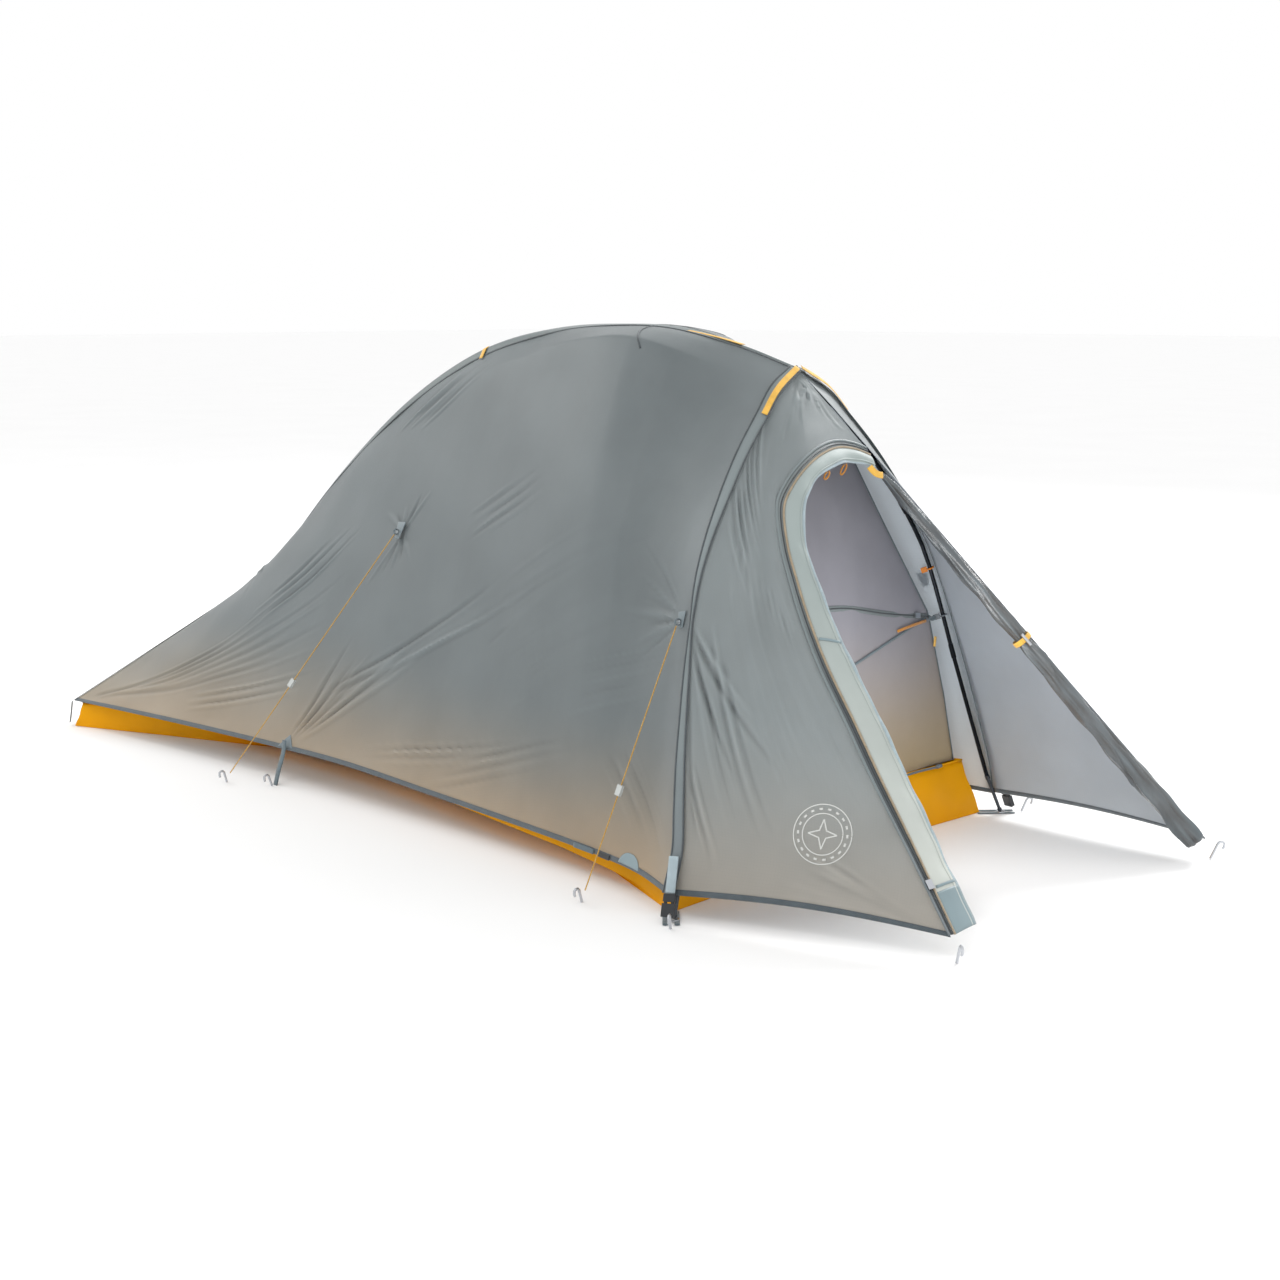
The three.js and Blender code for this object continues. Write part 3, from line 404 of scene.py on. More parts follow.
class Shader:
    """A material under construction: nodes are added by kind, and linked by their inputs."""

    def __init__(self, name, **constants):
        self.material = bpy.data.materials.new(name)
        self.material.use_nodes = True
        self.tree = self.material.node_tree
        self.surface = self.tree.nodes["Principled BSDF"]
        for socket, value in constants.items():
            self.surface.inputs[socket.replace("_", " ")].default_value = value

    def add(self, kind, inputs=(), **settings):
        made = self.tree.nodes.new("ShaderNode" + kind)
        for key, value in settings.items():
            setattr(made, key, value)
        for key, value in dict(inputs).items():
            if isinstance(value, bpy.types.NodeSocket):
                self.tree.links.new(value, made.inputs[key])
            else:
                made.inputs[key].default_value = value
        return made

    def link(self, output, socket):
        self.tree.links.new(output, self.surface.inputs[socket])

    def math(self, operation, a, b=0.0):
        return self.add("Math", {0: a, 1: b}, operation=operation).outputs[0]

    def place(self, scale=(1, 1, 1), turn=(0, 0, 0), source="Object"):
        where = self.add("TexCoord").outputs[source]
        return self.add("Mapping", {"Vector": where, "Scale": scale, "Rotation": turn}).outputs[0]

    def noise(self, scale, detail=2.0, rough=0.5, warp=0.0, stretch=(1, 1, 1), turn=(0, 0, 0)):
        return self.add("TexNoise", {"Vector": self.place(stretch, turn), "Scale": scale, "Detail": detail,
                                     "Roughness": rough, "Distortion": warp}).outputs["Fac"]

    def ramp(self, value, stops):
        made = self.add("ValToRGB", {"Fac": value})
        steps = made.color_ramp.elements
        while len(steps) < len(stops):
            steps.new(0.5)
        for element, (place, shade) in zip(steps, stops):
            element.position = place
            element.color = shade if isinstance(shade, tuple) else (shade, shade, shade, 1)
        return made.outputs["Color"]

    def mix(self, factor, a, b, blend="MIX"):
        made = self.add("Mix", data_type="RGBA", blend_type=blend)
        for socket, value in ((made.inputs[0], factor), (made.inputs[6], a), (made.inputs[7], b)):
            if isinstance(value, bpy.types.NodeSocket):
                self.tree.links.new(value, socket)
            else:
                socket.default_value = value
        return made.outputs[2]

    def let_light_through(self, share, tint):
        """Thin cloth: part of the light that falls on its far side comes through."""
        behind = self.add("BsdfTranslucent", {"Color": tint})
        both = self.add("MixShader", {0: share, 1: self.surface.outputs[0], 2: behind.outputs[0]})
        self.tree.links.new(both.outputs[0], self.tree.nodes["Material Output"].inputs["Surface"])

    def bump(self, height, distance, strength=1.0, below=None):
        inputs = {"Height": height, "Distance": distance, "Strength": strength}
        if below is not None:
            inputs["Normal"] = below
        return self.add("Bump", inputs).outputs["Normal"]


def lines(shader, spacing, direction, thin):
    """Thin lines a given spacing apart along X or Y, as a mask."""
    where = shader.place(source="UV")
    wave = shader.add("TexWave", {"Vector": where, "Scale": math.pi / (10 * spacing), "Distortion": 0.0},
                      wave_type="BANDS", bands_direction=direction, wave_profile="SIN")
    return shader.ramp(wave.outputs["Fac"], [(1 - thin, 0.0), (1.0, 1.0)])


def weave(shader, pitch, depth, below):
    """Bump of warp and weft threads, over the normal below."""
    where = shader.place(source="UV")
    warp, weft = (shader.add("TexWave", {"Vector": where, "Scale": math.pi / (10 * pitch), "Distortion": 0.6,
                                         "Detail": 1.0}, wave_type="BANDS", bands_direction=axis,
                             wave_profile="SIN").outputs["Fac"] for axis in "XY")
    threads = shader.math("MAXIMUM", warp, weft)
    return shader.bump(threads, depth, 0.6, below)


def nylon(name, high, low, rough=0.42, wrinkle=0.0022, ripstop=True, low_z=0.05, high_z=0.42, weight=0.25,
          through=0.0, wear=0.06, crease=0.0, gloss=0.45):
    """Thin coated cloth: colour that drifts with height from its low colour up to its high one, which on the
    fly and inner tent is painted light; painted light and shade on its creases where crease is given; fine
    crease bumps and a ripstop grid.
    """
    shader = Shader(name, Sheen_Weight=weight, Sheen_Roughness=0.35, Specular_IOR_Level=gloss)
    where = shader.add("TexCoord").outputs["Object"]
    height = shader.add("SeparateXYZ", {0: where}).outputs["Z"]
    drift = shader.noise(2.2, 3.0)
    # Painted light on the fly and inner tent: paler and warmer low down, where light bounced off the ground
    # and the orange floor falls.
    rise = shader.add("MapRange", {"Value": shader.math("ADD", height, shader.math("MULTIPLY", drift, 0.12)),
                                   "From Min": low_z, "From Max": high_z}, interpolation_type="SMOOTHSTEP")
    base = shader.mix(rise.outputs[0], low, high)
    patches = shader.ramp(shader.noise(5.0, 4.0, 0.6), [(0.3, 0.90), (0.7, 1.06)])
    base = shader.mix(1.0, base, patches, "MULTIPLY")
    if ripstop:
        grid = shader.math("MAXIMUM", lines(shader, 0.006, "X", 0.035), lines(shader, 0.006, "Y", 0.035))
        base = shader.mix(shader.math("MULTIPLY", grid, 0.16), base, tuple(0.6 * c for c in high[:3]) + (1,))
    # Painted light and shade on the creases: crests of the stored crease heights lighter, valleys darker.
    if crease:
        height = shader.add("Attribute", attribute_name="crease").outputs["Fac"]
        crease_light_and_shade = shader.math("ADD", shader.math("MULTIPLY", height, crease), 1.0)
        base = shader.mix(1.0, base, crease_light_and_shade, "MULTIPLY")
    streaks = shader.noise(9.0, 5.0, 0.62, 0.4, stretch=(1.0, 1.0, 0.32), turn=(0.3, 0.5, 0.2))
    base = shader.mix(shader.math("MULTIPLY", streaks, wear), base, (1, 1, 1, 1))
    shader.link(base, "Base Color")
    shader.link(shader.add("MapRange", {"Value": streaks, "To Min": rough - 0.07, "To Max": rough + 0.12})
                .outputs[0], "Roughness")
    soft = shader.bump(streaks, wrinkle, 0.55)
    fine = shader.bump(shader.noise(60.0, 3.0, 0.55, 0.3, stretch=(1, 1, 0.45), turn=(0.4, 0.2, 0.7)),
                       wrinkle * 0.14, 0.5, soft)
    shader.link(weave(shader, 0.0011, 0.00012, fine), "Normal")
    if through:
        shader.let_light_through(through, shader.mix(0.5, base, (1, 1, 1, 1)))
    return shader.material


def woven(name, base, dark, pitch=0.0022):
    """Narrow woven tape or webbing with a twill rib."""
    shader = Shader(name, Sheen_Weight=0.35, Sheen_Roughness=0.5, Roughness=0.75)
    where = shader.place((1 / pitch, 26, 1), source="UV")
    ribs = shader.add("TexWave", {"Vector": where, "Scale": 0.32, "Distortion": 1.2, "Detail": 2.0},
                      wave_type="BANDS", bands_direction="DIAGONAL").outputs["Fac"]
    body = shader.mix(shader.ramp(ribs, [(0.2, 0.0), (0.9, 1.0)]), dark, base)
    grime = shader.ramp(shader.noise(40.0, 4.0, 0.65), [(0.35, 0.82), (0.65, 1.05)])
    shader.link(shader.mix(1.0, body, grime, "MULTIPLY"), "Base Color")
    shader.link(shader.bump(ribs, 0.0006, 0.7), "Normal")
    return shader.material


def moulded(name, base):
    """Injection-moulded plastic with a fine grain and a mottled tone."""
    shader = Shader(name, Specular_IOR_Level=0.5)
    mottled = shader.ramp(shader.noise(30.0, 3.0), [(0.3, 0.85), (0.7, 1.12)])
    shader.link(shader.mix(1.0, base, mottled, "MULTIPLY"), "Base Color")
    shader.link(shader.add("MapRange", {"Value": shader.noise(55.0, 4.0), "To Min": 0.35,
                                        "To Max": 0.60}).outputs[0], "Roughness")
    shader.link(shader.bump(shader.noise(1320.0, 2.0), 0.00012, 0.6), "Normal")
    return shader.material


def metal(name, base, rough):
    """Drawn or anodised tube: fine lengthwise scratches and dull rubbed patches."""
    shader = Shader(name, Metallic=1.0)
    scratch = shader.noise(90.0, 5.0, 0.7, stretch=(1, 1, 0.08), turn=(0.2, 0.9, 0))
    patches = shader.noise(14.0, 4.0, 0.6)
    tone = shader.ramp(patches, [(0.3, 0.86), (0.75, 1.08)])
    shader.link(shader.mix(1.0, base, tone, "MULTIPLY"), "Base Color")
    shader.link(shader.add("MapRange", {"Value": scratch, "To Min": rough - 0.1, "To Max": rough + 0.16})
                .outputs[0], "Roughness")
    shader.link(shader.bump(scratch, 0.0002, 0.5), "Normal")
    return shader.material


def braid(name, base, fleck):
    """Braided cord with crossing strands and a reflective fleck."""
    shader = Shader(name, Sheen_Weight=0.3, Roughness=0.55)
    where = shader.place((420.0, 420.0, 420.0))
    strands = shader.add("TexWave", {"Vector": where, "Scale": 1.0, "Distortion": 2.5, "Detail": 2.0},
                         wave_type="BANDS", bands_direction="DIAGONAL").outputs["Fac"]
    spots = shader.ramp(shader.noise(700.0, 1.0), [(0.55, 0.0), (0.62, 1.0)])
    shadow = tuple(0.55 * c for c in base[:3]) + (1,)
    shade = shader.mix(shader.ramp(strands, [(0.1, 0.0), (0.8, 1.0)]), shadow, base)
    shader.link(shader.mix(shader.math("MULTIPLY", spots, 0.6), shade, fleck), "Base Color")
    shader.link(shader.bump(strands, 0.0004, 0.8), "Normal")
    return shader.material


# fly_cloth: darker grey-green up high, paler warm taupe at the hem: painted light, from light bounced off
# the ground; crease=80.0 paints the creases' crests lighter and valleys darker.
FLY = nylon("fly_cloth", colour(113, 122, 124), colour(177, 158, 130), through=0.3, low_z=0.03, high_z=0.40,
            crease=80.0)
# fly_cloth_inside: much paler than the same cloth's outside: painted light, standing for the back light that
# shines through the fly, on top of its real translucency.
FLY_INSIDE = nylon("fly_cloth_inside", colour(222, 232, 242), colour(222, 228, 232), rough=0.6, weight=0.1,
                   through=0.75)
# fly_front_cloth: a lighter copy of the fly's cloth, painted light on the vestibule, which takes more light
# than the side; same painted drift and crease shading.
FRONT = nylon("fly_front_cloth", colour(138, 147, 148), colour(168, 160, 147), through=0.3, low_z=0.02,
              high_z=0.44, crease=95.0)
# fly_front_inside: paler than the outside: painted light coming through the cloth, on top of its real
# translucency.
FRONT_INSIDE = nylon("fly_front_inside", colour(172, 182, 194), colour(168, 177, 186), rough=0.6, weight=0.1,
                     through=0.4)
SLEEVE = nylon("sleeve_cloth", colour(84, 97, 98), colour(90, 100, 102), ripstop=False, wrinkle=0.0012)
SLEEVE_PALE = nylon("leg_band_cloth", colour(114, 125, 127), colour(100, 109, 114), ripstop=False,
                    wrinkle=0.0016)
BINDING = woven("binding_tape", colour(88, 99, 105), colour(62, 72, 78))
SEAM_TAPE = woven("seam_tape", colour(84, 94, 98), colour(66, 75, 80), pitch=0.003)
FLAP = nylon("flap_cloth", colour(150, 162, 160), colour(200, 205, 198), ripstop=False, wrinkle=0.0012,
             rough=0.5, low_z=0.10, high_z=0.70)
PIPING = woven("flap_piping", colour(196, 176, 146), colour(168, 150, 124))
# inner_cloth and inner_side_cloth: their orange-tan low colours are painted light, the glow of the orange
# floor tray on the lower walls.
INNER = nylon("inner_cloth", colour(133, 132, 140), colour(158, 136, 94), low_z=0.10, high_z=0.56,
              rough=0.6, ripstop=False, wrinkle=0.0014)
INNER_SIDE = nylon("inner_side_cloth", colour(142, 141, 148), colour(160, 148, 126), low_z=0.1, high_z=0.5,
                   rough=0.6, ripstop=False, wrinkle=0.0014)
FLOOR_CLOTH = nylon("floor_cloth", colour(234, 162, 0), colour(224, 148, 0), low_z=0.0, high_z=0.1,
                    ripstop=True, wear=0.0, wrinkle=0.0018, weight=0.0, gloss=0.10)
# roll_cloth: crease=1.3 paints lighter and darker streaks along the roll's ripples, a painted sheen and
# shade on its folds.
ROLL_CLOTH = nylon("roll_cloth", colour(42, 52, 57), colour(46, 57, 62), rough=0.16, gloss=0.8,
                   ripstop=False, wrinkle=0.014, weight=0.0, wear=0.14, crease=1.3)
YELLOW_TAPE = woven("yellow_tape", colour(252, 208, 104), colour(246, 182, 50), pitch=0.003)
ORANGE_TAPE = woven("orange_tape", colour(232, 158, 40), colour(196, 120, 22), pitch=0.003)
PALE_WEBBING = woven("pale_webbing", colour(190, 206, 212), colour(150, 168, 176))
GREY_WEBBING = woven("grey_webbing", colour(104, 122, 130), colour(74, 90, 98))
PATCH = nylon("patch_cloth", colour(108, 122, 128), colour(108, 122, 128), ripstop=False, wrinkle=0.001)
PALE_PATCH = nylon("pale_patch_cloth", colour(126, 146, 152), colour(126, 146, 152), ripstop=False)
MARK = nylon("mark_ink", colour(202, 204, 200), colour(202, 204, 200), ripstop=False, wrinkle=0.0006)
BLACK_LABEL = woven("label_tape", colour(44, 50, 54), colour(30, 34, 38))
BLACK_PLASTIC = moulded("black_plastic", colour(38, 41, 45))
GREY_PLASTIC = moulded("grey_plastic", colour(104, 110, 116))
ORANGE_PLASTIC = moulded("orange_plastic", colour(214, 124, 26))
POLE = metal("black_anodised_tube", colour(34, 36, 40), rough=0.3)
ALLOY = metal("bright_alloy", colour(196, 199, 204), rough=0.3)
DARK_ALLOY = metal("dark_alloy", colour(78, 82, 88), rough=0.36)
PALE_PLASTIC = moulded("pale_plastic", colour(186, 190, 188))
ZIP_TAPE = nylon("zip_tape", colour(122, 131, 132), colour(70, 78, 82), ripstop=False, low_z=0.40,
                 high_z=0.64)
CORD = braid("guy_cord", colour(222, 168, 54), colour(238, 204, 122))


# ---- camera and light ------------------------------------------------------------------------------
CAMERA_PLACE = (3.3729, -2.9439, 1.0728)
CAMERA_YAW = 43.818
CAMERA_PITCH_DOWN = 9.768
CAMERA_LENS = 54.83
SENSOR_WIDTH = 36.0
GROUND_HALF = 60.0
GROUND_HEIGHT = -0.0005


def add_camera():
    """Camera at eye level, three-quarter on the door."""
    data = bpy.data.cameras.new("camera")
    data.lens = CAMERA_LENS
    data.sensor_width = SENSOR_WIDTH
    data.clip_end = 200.0
    camera = bpy.data.objects.new("camera", data)
    camera.location = CAMERA_PLACE
    camera.rotation_euler = (math.radians(90 - CAMERA_PITCH_DOWN), 0, math.radians(CAMERA_YAW))
    bpy.context.scene.collection.objects.link(camera)
    bpy.context.scene.camera = camera


def area_light(name, place, target, size, power, tint=(1, 1, 1)):
    data = bpy.data.lights.new(name, "AREA")
    data.shape = "DISK"
    data.size = size
    data.energy = power
    data.color = tint
    light = bpy.data.objects.new(name, data)
    light.location = place
    light.rotation_euler = (Vector(target) - Vector(place)).to_track_quat("-Z", "Y").to_euler()
    light.visible_camera = False
    bpy.context.scene.collection.objects.link(light)


def add_studio():
    world = bpy.data.worlds.new("studio")
    world.use_nodes = True
    world.node_tree.nodes["Background"].inputs["Color"].default_value = (1.0, 1.0, 1.0, 1)
    world.node_tree.nodes["Background"].inputs["Strength"].default_value = 1.0
    scene = bpy.context.scene
    scene.world = world
    scene.view_settings.view_transform = "Standard"
    area_light("key", (1.6, -3.4, 4.4), (0.2, 0, 0.3), 1.2, 26)
    area_light("rake", (-3.8, -1.2, 3.0), (0, -0.3, 0.5), 0.8, 38, (1.0, 0.99, 0.96))
    area_light("back", (0.5, 4.6, 4.0), (0.6, 0, 0.4), 2.5, 230)
    area_light("porch", (1.30, -0.14, 0.36), (1.21, 0.5, 0.38), 0.24, 1.2)
    shader = Shader("studio_floor", Roughness=0.9, Specular_IOR_Level=0.1)
    tone = shader.ramp(shader.noise(1.5, 3.0), [(0.3, 0.965), (0.7, 0.98)])
    shader.link(tone, "Base Color")
    corners = [(x * GROUND_HALF, y * GROUND_HALF, GROUND_HEIGHT)
               for x, y in ((-1, -1), (1, -1), (1, 1), (-1, 1))]
    floor = make("studio_ground", corners, [(0, 1, 2, 3)], shader.material, body=None)


# ---- guylines ------------------------------------------------------------------------------------
def surface_frame(side, s, v):
    """A spot on a side panel with its downward and outward directions."""
    spot = side_point(side, s, v)
    along = side_point(side, s + 0.01, v) - side_point(side, s - 0.01, v)
    down = unit(side_point(side, s, v + 0.01) - side_point(side, s, v - 0.01))
    normal = unit(np.cross(along, down))
    return spot, down, normal if normal[1] * side > 0 else -normal


def cord_between(name, points, radius, material):
    """Cord on the tent as a curve of one open spline."""
    data = bpy.data.curves.new(name, "CURVE")
    data.dimensions = "3D"
    data.bevel_depth = radius
    data.bevel_resolution = 4
    data.use_fill_caps = True
    spline = data.splines.new("POLY")
    spline.points.add(len(points) - 1)
    for place, point in zip(spline.points, points):
        place.co = (*point, 1.0)
    data.materials.append(material)
    obj = bpy.data.objects.new(name, data)
    bpy.context.scene.collection.objects.link(obj)
    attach(obj, "tent")
    return obj


def guyline(label):
    """One taut guyline, from the eye of its patch down to its stake."""
    spot, down, normal = surface_frame(-1, *GUY_SPOTS[label])
    if label == "leg":
        spot = spot + normal * 0.001
    eye = spot + normal * 0.0084 + down * 0.006
    eye = eye + (-0.002 * (1 - GUY_SPOTS[label][0]), 0, 0)
    along = unit(GUY_FEET[label] - eye)
    start = eye + along * 0.0075
    finish = GUY_FEET[label] - along * 0.005
    points = [start + (finish - start) * t for t in np.linspace(0, 1, 16)]
    obj = cord_between(f"guyline_{label}_cord", points, CORD_DIAMETER / 2, CORD)
    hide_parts(f"guyline_{label}")


add_camera()
for which in GUY_SPOTS:
    guyline(which)
add_studio()


# ---- fly -------------------------------------------------------------------------------------------
CREASE_LIMIT = 0.009
CREASE_LIFT = 1.55
FAN_JITTER = 0.25
FRONT_OUT = {-1: (1, -0.5, 0.6), 1: (1, 0.5, 0.6)}
FOOT_OUT = (-1, 0, 1)
SEAM_SHARE = 0.84


def folds(points, lines_):
    """Heights of narrow creases over a grid: each line is (from, to, width, height) in grid shares."""
    columns, rows = points.shape[:2]
    out = np.zeros(points.shape[:2])

    def on_grid(i, j):
        i = np.clip(i, 0, 1) * (columns - 1)
        j = np.clip(j, 0, 1) * (rows - 1)
        a = np.minimum(i.astype(int), columns - 2)
        b = np.minimum(j.astype(int), rows - 2)
        p, q = (i - a)[:, None], (j - b)[:, None]
        return ((points[a, b] * (1 - p) + points[a + 1, b] * p) * (1 - q)
                + (points[a, b + 1] * (1 - p) + points[a + 1, b + 1] * p) * q)

    for (i0, j0), (i1, j1), width, height in lines_:
        t = np.linspace(0, 1, 40)
        path = on_grid(i0 + (i1 - i0) * t, j0 + (j1 - j0) * t)
        near = np.all((points >= path.min(0) - 3 * width) & (points <= path.max(0) + 3 * width), axis=-1)
        if not near.any():
            continue
        spots = points[near]
        a, b = path[0], path[-1]
        along = np.clip(((spots - a) @ (b - a)) / max((b - a) @ (b - a), 1e-9), 0, 1)
        k = np.minimum((along * 39).astype(int), 38)
        rest = (along * 39 - k)[:, None]
        foot = path[k] * (1 - rest) + path[k + 1] * rest
        far = np.linalg.norm(spots - foot, axis=1) / width
        swell = np.sin(np.pi * np.clip(along, 0, 1) ** 0.7)
        out[near] += height * swell * (1 - 1.2 * far ** 2) * np.exp(-far ** 2)
    return CREASE_LIMIT * np.tanh(out / CREASE_LIMIT)


def fan(origin, corners, count, width, height, start=0.06):
    """Creases from near an origin towards spots spread between two corners, in grid shares."""
    made = []
    (i0, j0), (i1, j1) = corners
    for k in range(count):
        t = (k + 0.5 + FAN_JITTER * RNG.uniform(-1, 1)) / count
        reach = RNG.uniform(0.55, 1.0)
        end = (origin[0] + (i0 + (i1 - i0) * t - origin[0]) * reach,
               origin[1] + (j0 + (j1 - j0) * t - origin[1]) * reach)
        begin = (origin[0] + (end[0] - origin[0]) * start, origin[1] + (end[1] - origin[1]) * start)
        sign = -1 if k % 2 else 1
        made.append((begin, end, width * RNG.uniform(0.7, 1.3), sign * height * RNG.uniform(0.6, 1.3)))
    return made


def bundle(start, end, spread, count, width, height):
    """Nearly parallel creases between two spots, spread to both sides of the line that joins them."""
    made = []
    for k in range(count):
        shift = (2 * (k + 0.5) / count - 1) + RNG.uniform(-0.5, 0.5) / count
        first, last = RNG.uniform(0.0, 0.25), RNG.uniform(0.75, 1.0)
        ends = [tuple(start[n] + (end[n] - start[n]) * t + spread[n] * shift for n in (0, 1))
                for t in (first, last)]
        sign = -1 if k % 2 else 1
        made.append((*ends, width * RNG.uniform(0.6, 1.1), sign * height * RNG.uniform(0.7, 1.3)))
    return made


SIDE_COLUMNS = 480
SIDE_ROWS = 190
ROW_POWER = 1.25
V_GRID = np.linspace(0, 1, SIDE_ROWS) ** ROW_POWER


def v_row(v):
    """Grid share of the row at v."""
    return v ** (1 / ROW_POWER)


def side_creases():
    """Creases of a side panel, in shares of its columns and rows."""
    guy = (GUY_SPOTS["side"][0], v_row(GUY_SPOTS["side"][1]))
    leg = (GUY_SPOTS["leg"][0], v_row(GUY_SPOTS["leg"][1]))
    made = [((0.55, 0.87), (0.10, 0.50), 0.009, -0.0046), ((0.56, 0.86), (0.30, 0.62), 0.007, -0.0030),
            ((0.49, 0.82), (0.15, 0.57), 0.008, 0.0032), ((0.31, 0.74), (0.08, 0.51), 0.007, -0.0026)]
    made += bundle((0.39, 0.535), (0.25, 0.43), (0.018, -0.032), 7, 0.0055, 0.0013)
    made += bundle((0.60, 0.175), (0.46, 0.07), (0.010, -0.02), 3, 0.006, 0.0016)
    made += bundle((0.59, 0.21), (0.40, 0.06), (0.012, -0.03), 4, 0.006, 0.0013)
    made += bundle((0.31, 0.76), (0.07, 0.57), (0.04, -0.10), 9, 0.006, 0.0013)
    made += fan((1.0, 0.99), ((0.66, 0.45), (0.50, 0.72)), 13, 0.008, 0.0024, start=0.10)
    made += fan((0.98, 0.10), ((0.80, 0.45), (0.88, 0.60)), 6, 0.009, 0.0024)
    made += bundle((0.78, 0.64), (0.62, 0.42), (0.025, -0.03), 6, 0.007, 0.0016)
    made += fan(guy, ((0.46, 0.40), (0.60, 0.42)), 5, 0.006, 0.0018, start=0.15)
    made += fan(guy, ((0.46, 0.62), (0.58, 0.66)), 5, 0.006, 0.0020, start=0.15)
    made += fan(leg, ((0.10, 0.46), (0.13, 0.78)), 8, 0.006, 0.0015, start=0.10)
    made += fan((0.603, 1.0), ((0.36, 0.72), (0.56, 0.70)), 8, 0.007, 0.0018, start=0.08)
    made += bundle((0.50, 0.98), (0.20, 0.88), (0.02, 0.025), 5, 0.0065, 0.0013)
    made += bundle((0.37, 0.975), (0.13, 0.85), (0.02, 0.035), 6, 0.0065, 0.0012)
    made += bundle((0.12, 0.82), (0.03, 0.98), (0.025, 0.02), 5, 0.0065, 0.0014)
    made += bundle((0.18, 0.79), (0.02, 0.69), (0.01, 0.05), 5, 0.006, 0.0012)
    made += bundle((0.82, 0.94), (0.58, 0.83), (0.02, 0.04), 5, 0.007, 0.0013)
    return made


def side_grid(side):
    """Creased cloth of one side panel, and how high each crease stands."""
    s = np.linspace(0, 1, SIDE_COLUMNS)[:, None]
    points = side_point(side, s, V_GRID[None])
    normals = grid_normals(points, np.array([0, side, 0.8]))
    edge = np.minimum(1, np.minimum(s, 1 - s) * 30) * np.minimum(1, (1 - V_GRID[None]) * 25)
    edge = edge * np.minimum(1, V_GRID[None] * 22)
    creases = CREASE_LIFT * folds(points, side_creases()) * edge
    waves = 0.0025 * np.sin(37 * s + 9 * V_GRID[None]) * np.sin(11 * s - 14 * V_GRID[None] + 1.3)
    sag = -0.006 * np.sin(np.pi * np.clip((V_GRID[None] - 0.1) / 0.9, 0, 1)) * np.sin(np.pi * s)
    return points + normals * (creases + (waves + sag) * edge)[..., None], creases


def foot_grid(left, right):
    """The foot panel, between the creased edges of the two side panels."""
    w = np.linspace(-1, 1, 49)
    a = V_GRID
    middle = TAIL_CURVE.at(np.minimum(a, 1)) + mm([-2, 0, 3]) * np.minimum(1, a * 12)[:, None]
    low = mm([-1152, 0, 62])
    middle = middle + (low - middle) * (np.clip((a - 0.93) / 0.07, 0, 1) ** 2)[:, None]
    points = np.zeros((len(a), len(w), 3))
    for j, share in enumerate(w):
        edge = left if share < 0 else right
        points[:, j] = middle + (edge - middle) * abs(share)
    normals = grid_normals(points, np.array([-1, 0, 1]))
    made = fan((0.0, 0.5), ((0.8, 0.15), (0.8, 0.85)), 9, 0.010, 0.0030)
    made += fan((1.0, 0.5), ((0.5, 0.2), (0.5, 0.8)), 7, 0.010, 0.0026)
    keep = np.minimum(1, (1 - np.abs(w)) * 12)[None] * np.minimum(1, (1 - a) * 20)[:, None]
    creases = folds(points, made) * keep
    return points + normals * creases[..., None], creases


def ruled(from_edge, to_edge, rows, rise, u):
    """Grid ruled between two edges, its edge at u = 0 arched up."""
    w = np.linspace(0, 1, rows)
    points = from_edge[:, None] * (1 - w)[None, :, None] + to_edge[:, None] * w[None, :, None]
    points[..., 2] += rise * np.sin(np.pi * w)[None] * ((1 - u) ** 8)[:, None]
    return points


def front_creases():
    """Creases of the vestibule's left half: columns run up the leg, rows from the leg to the zip."""
    made = [((0.325, 0.0), (0.183, 0.48), 0.007, -0.0038), ((0.317, 0.0), (0.151, 0.265), 0.006, -0.0034),
            ((0.302, 0.0), (0.063, 0.07), 0.006, -0.0030), ((0.33, 0.02), (0.24, 0.40), 0.006, 0.0024)]
    made += fan((0.90, 0.02), ((0.74, 0.62), (0.985, 0.62)), 13, 0.0055, 0.0024, start=0.12)
    made += bundle((0.66, 0.02), (0.54, 0.58), (0.05, 0.02), 7, 0.0050, 0.0014)
    made += bundle((0.58, 0.02), (0.45, 0.48), (0.05, 0.02), 6, 0.0050, 0.0014)
    made += bundle((0.52, 0.30), (0.16, 0.62), (0.02, 0.14), 9, 0.0052, 0.0016)
    made += bundle((0.54, 0.66), (0.16, 0.90), (0.02, 0.15), 10, 0.0052, 0.0015)
    made += bundle((0.34, 0.10), (0.06, 0.34), (0.02, 0.10), 6, 0.0055, 0.0014)
    made += bundle((0.16, 0.04), (0.03, 0.16), (0.01, 0.03), 4, 0.006, 0.0014)
    made += fan((0.0, 0.99), ((0.012, 0.30), (0.12, 0.45)), 11, 0.0075, 0.0030)
    return made


def vestibule_left_grid():
    """Closed half of the vestibule, from the left leg's seam to the zip."""
    seam_u = SEAM_SHARE * (1 - V_GRID[::-1])
    crease_u = np.linspace(SEAM_SHARE, 1, SIDE_ROWS // 7)[1:]
    edge = np.vstack([seam(-1, V_GRID[::-1]), door_crease((crease_u - SEAM_SHARE) / 0.16 * 0.172)])
    u = np.concatenate([seam_u, crease_u])
    w = np.linspace(0, 1, 111)
    points = ruled(edge, zip_point(u, -0.0062), len(w), HEM_RISE, u)
    normals = grid_normals(points, np.array([1, -0.5, 0.6]))
    keep = np.minimum(1, w * 16)[None] * np.minimum(1, (1 - w) * 16)[None]
    keep = keep * np.minimum(1, u * 16)[:, None]
    waves = 0.0022 * np.sin(15 * w[None] + 3 * u[:, None]) * np.sin(np.pi * np.clip(u * 1.1, 0, 1))[:, None]
    creases = CREASE_LIFT * folds(points, front_creases()) * keep
    return points + normals * (creases + waves * keep)[..., None], creases


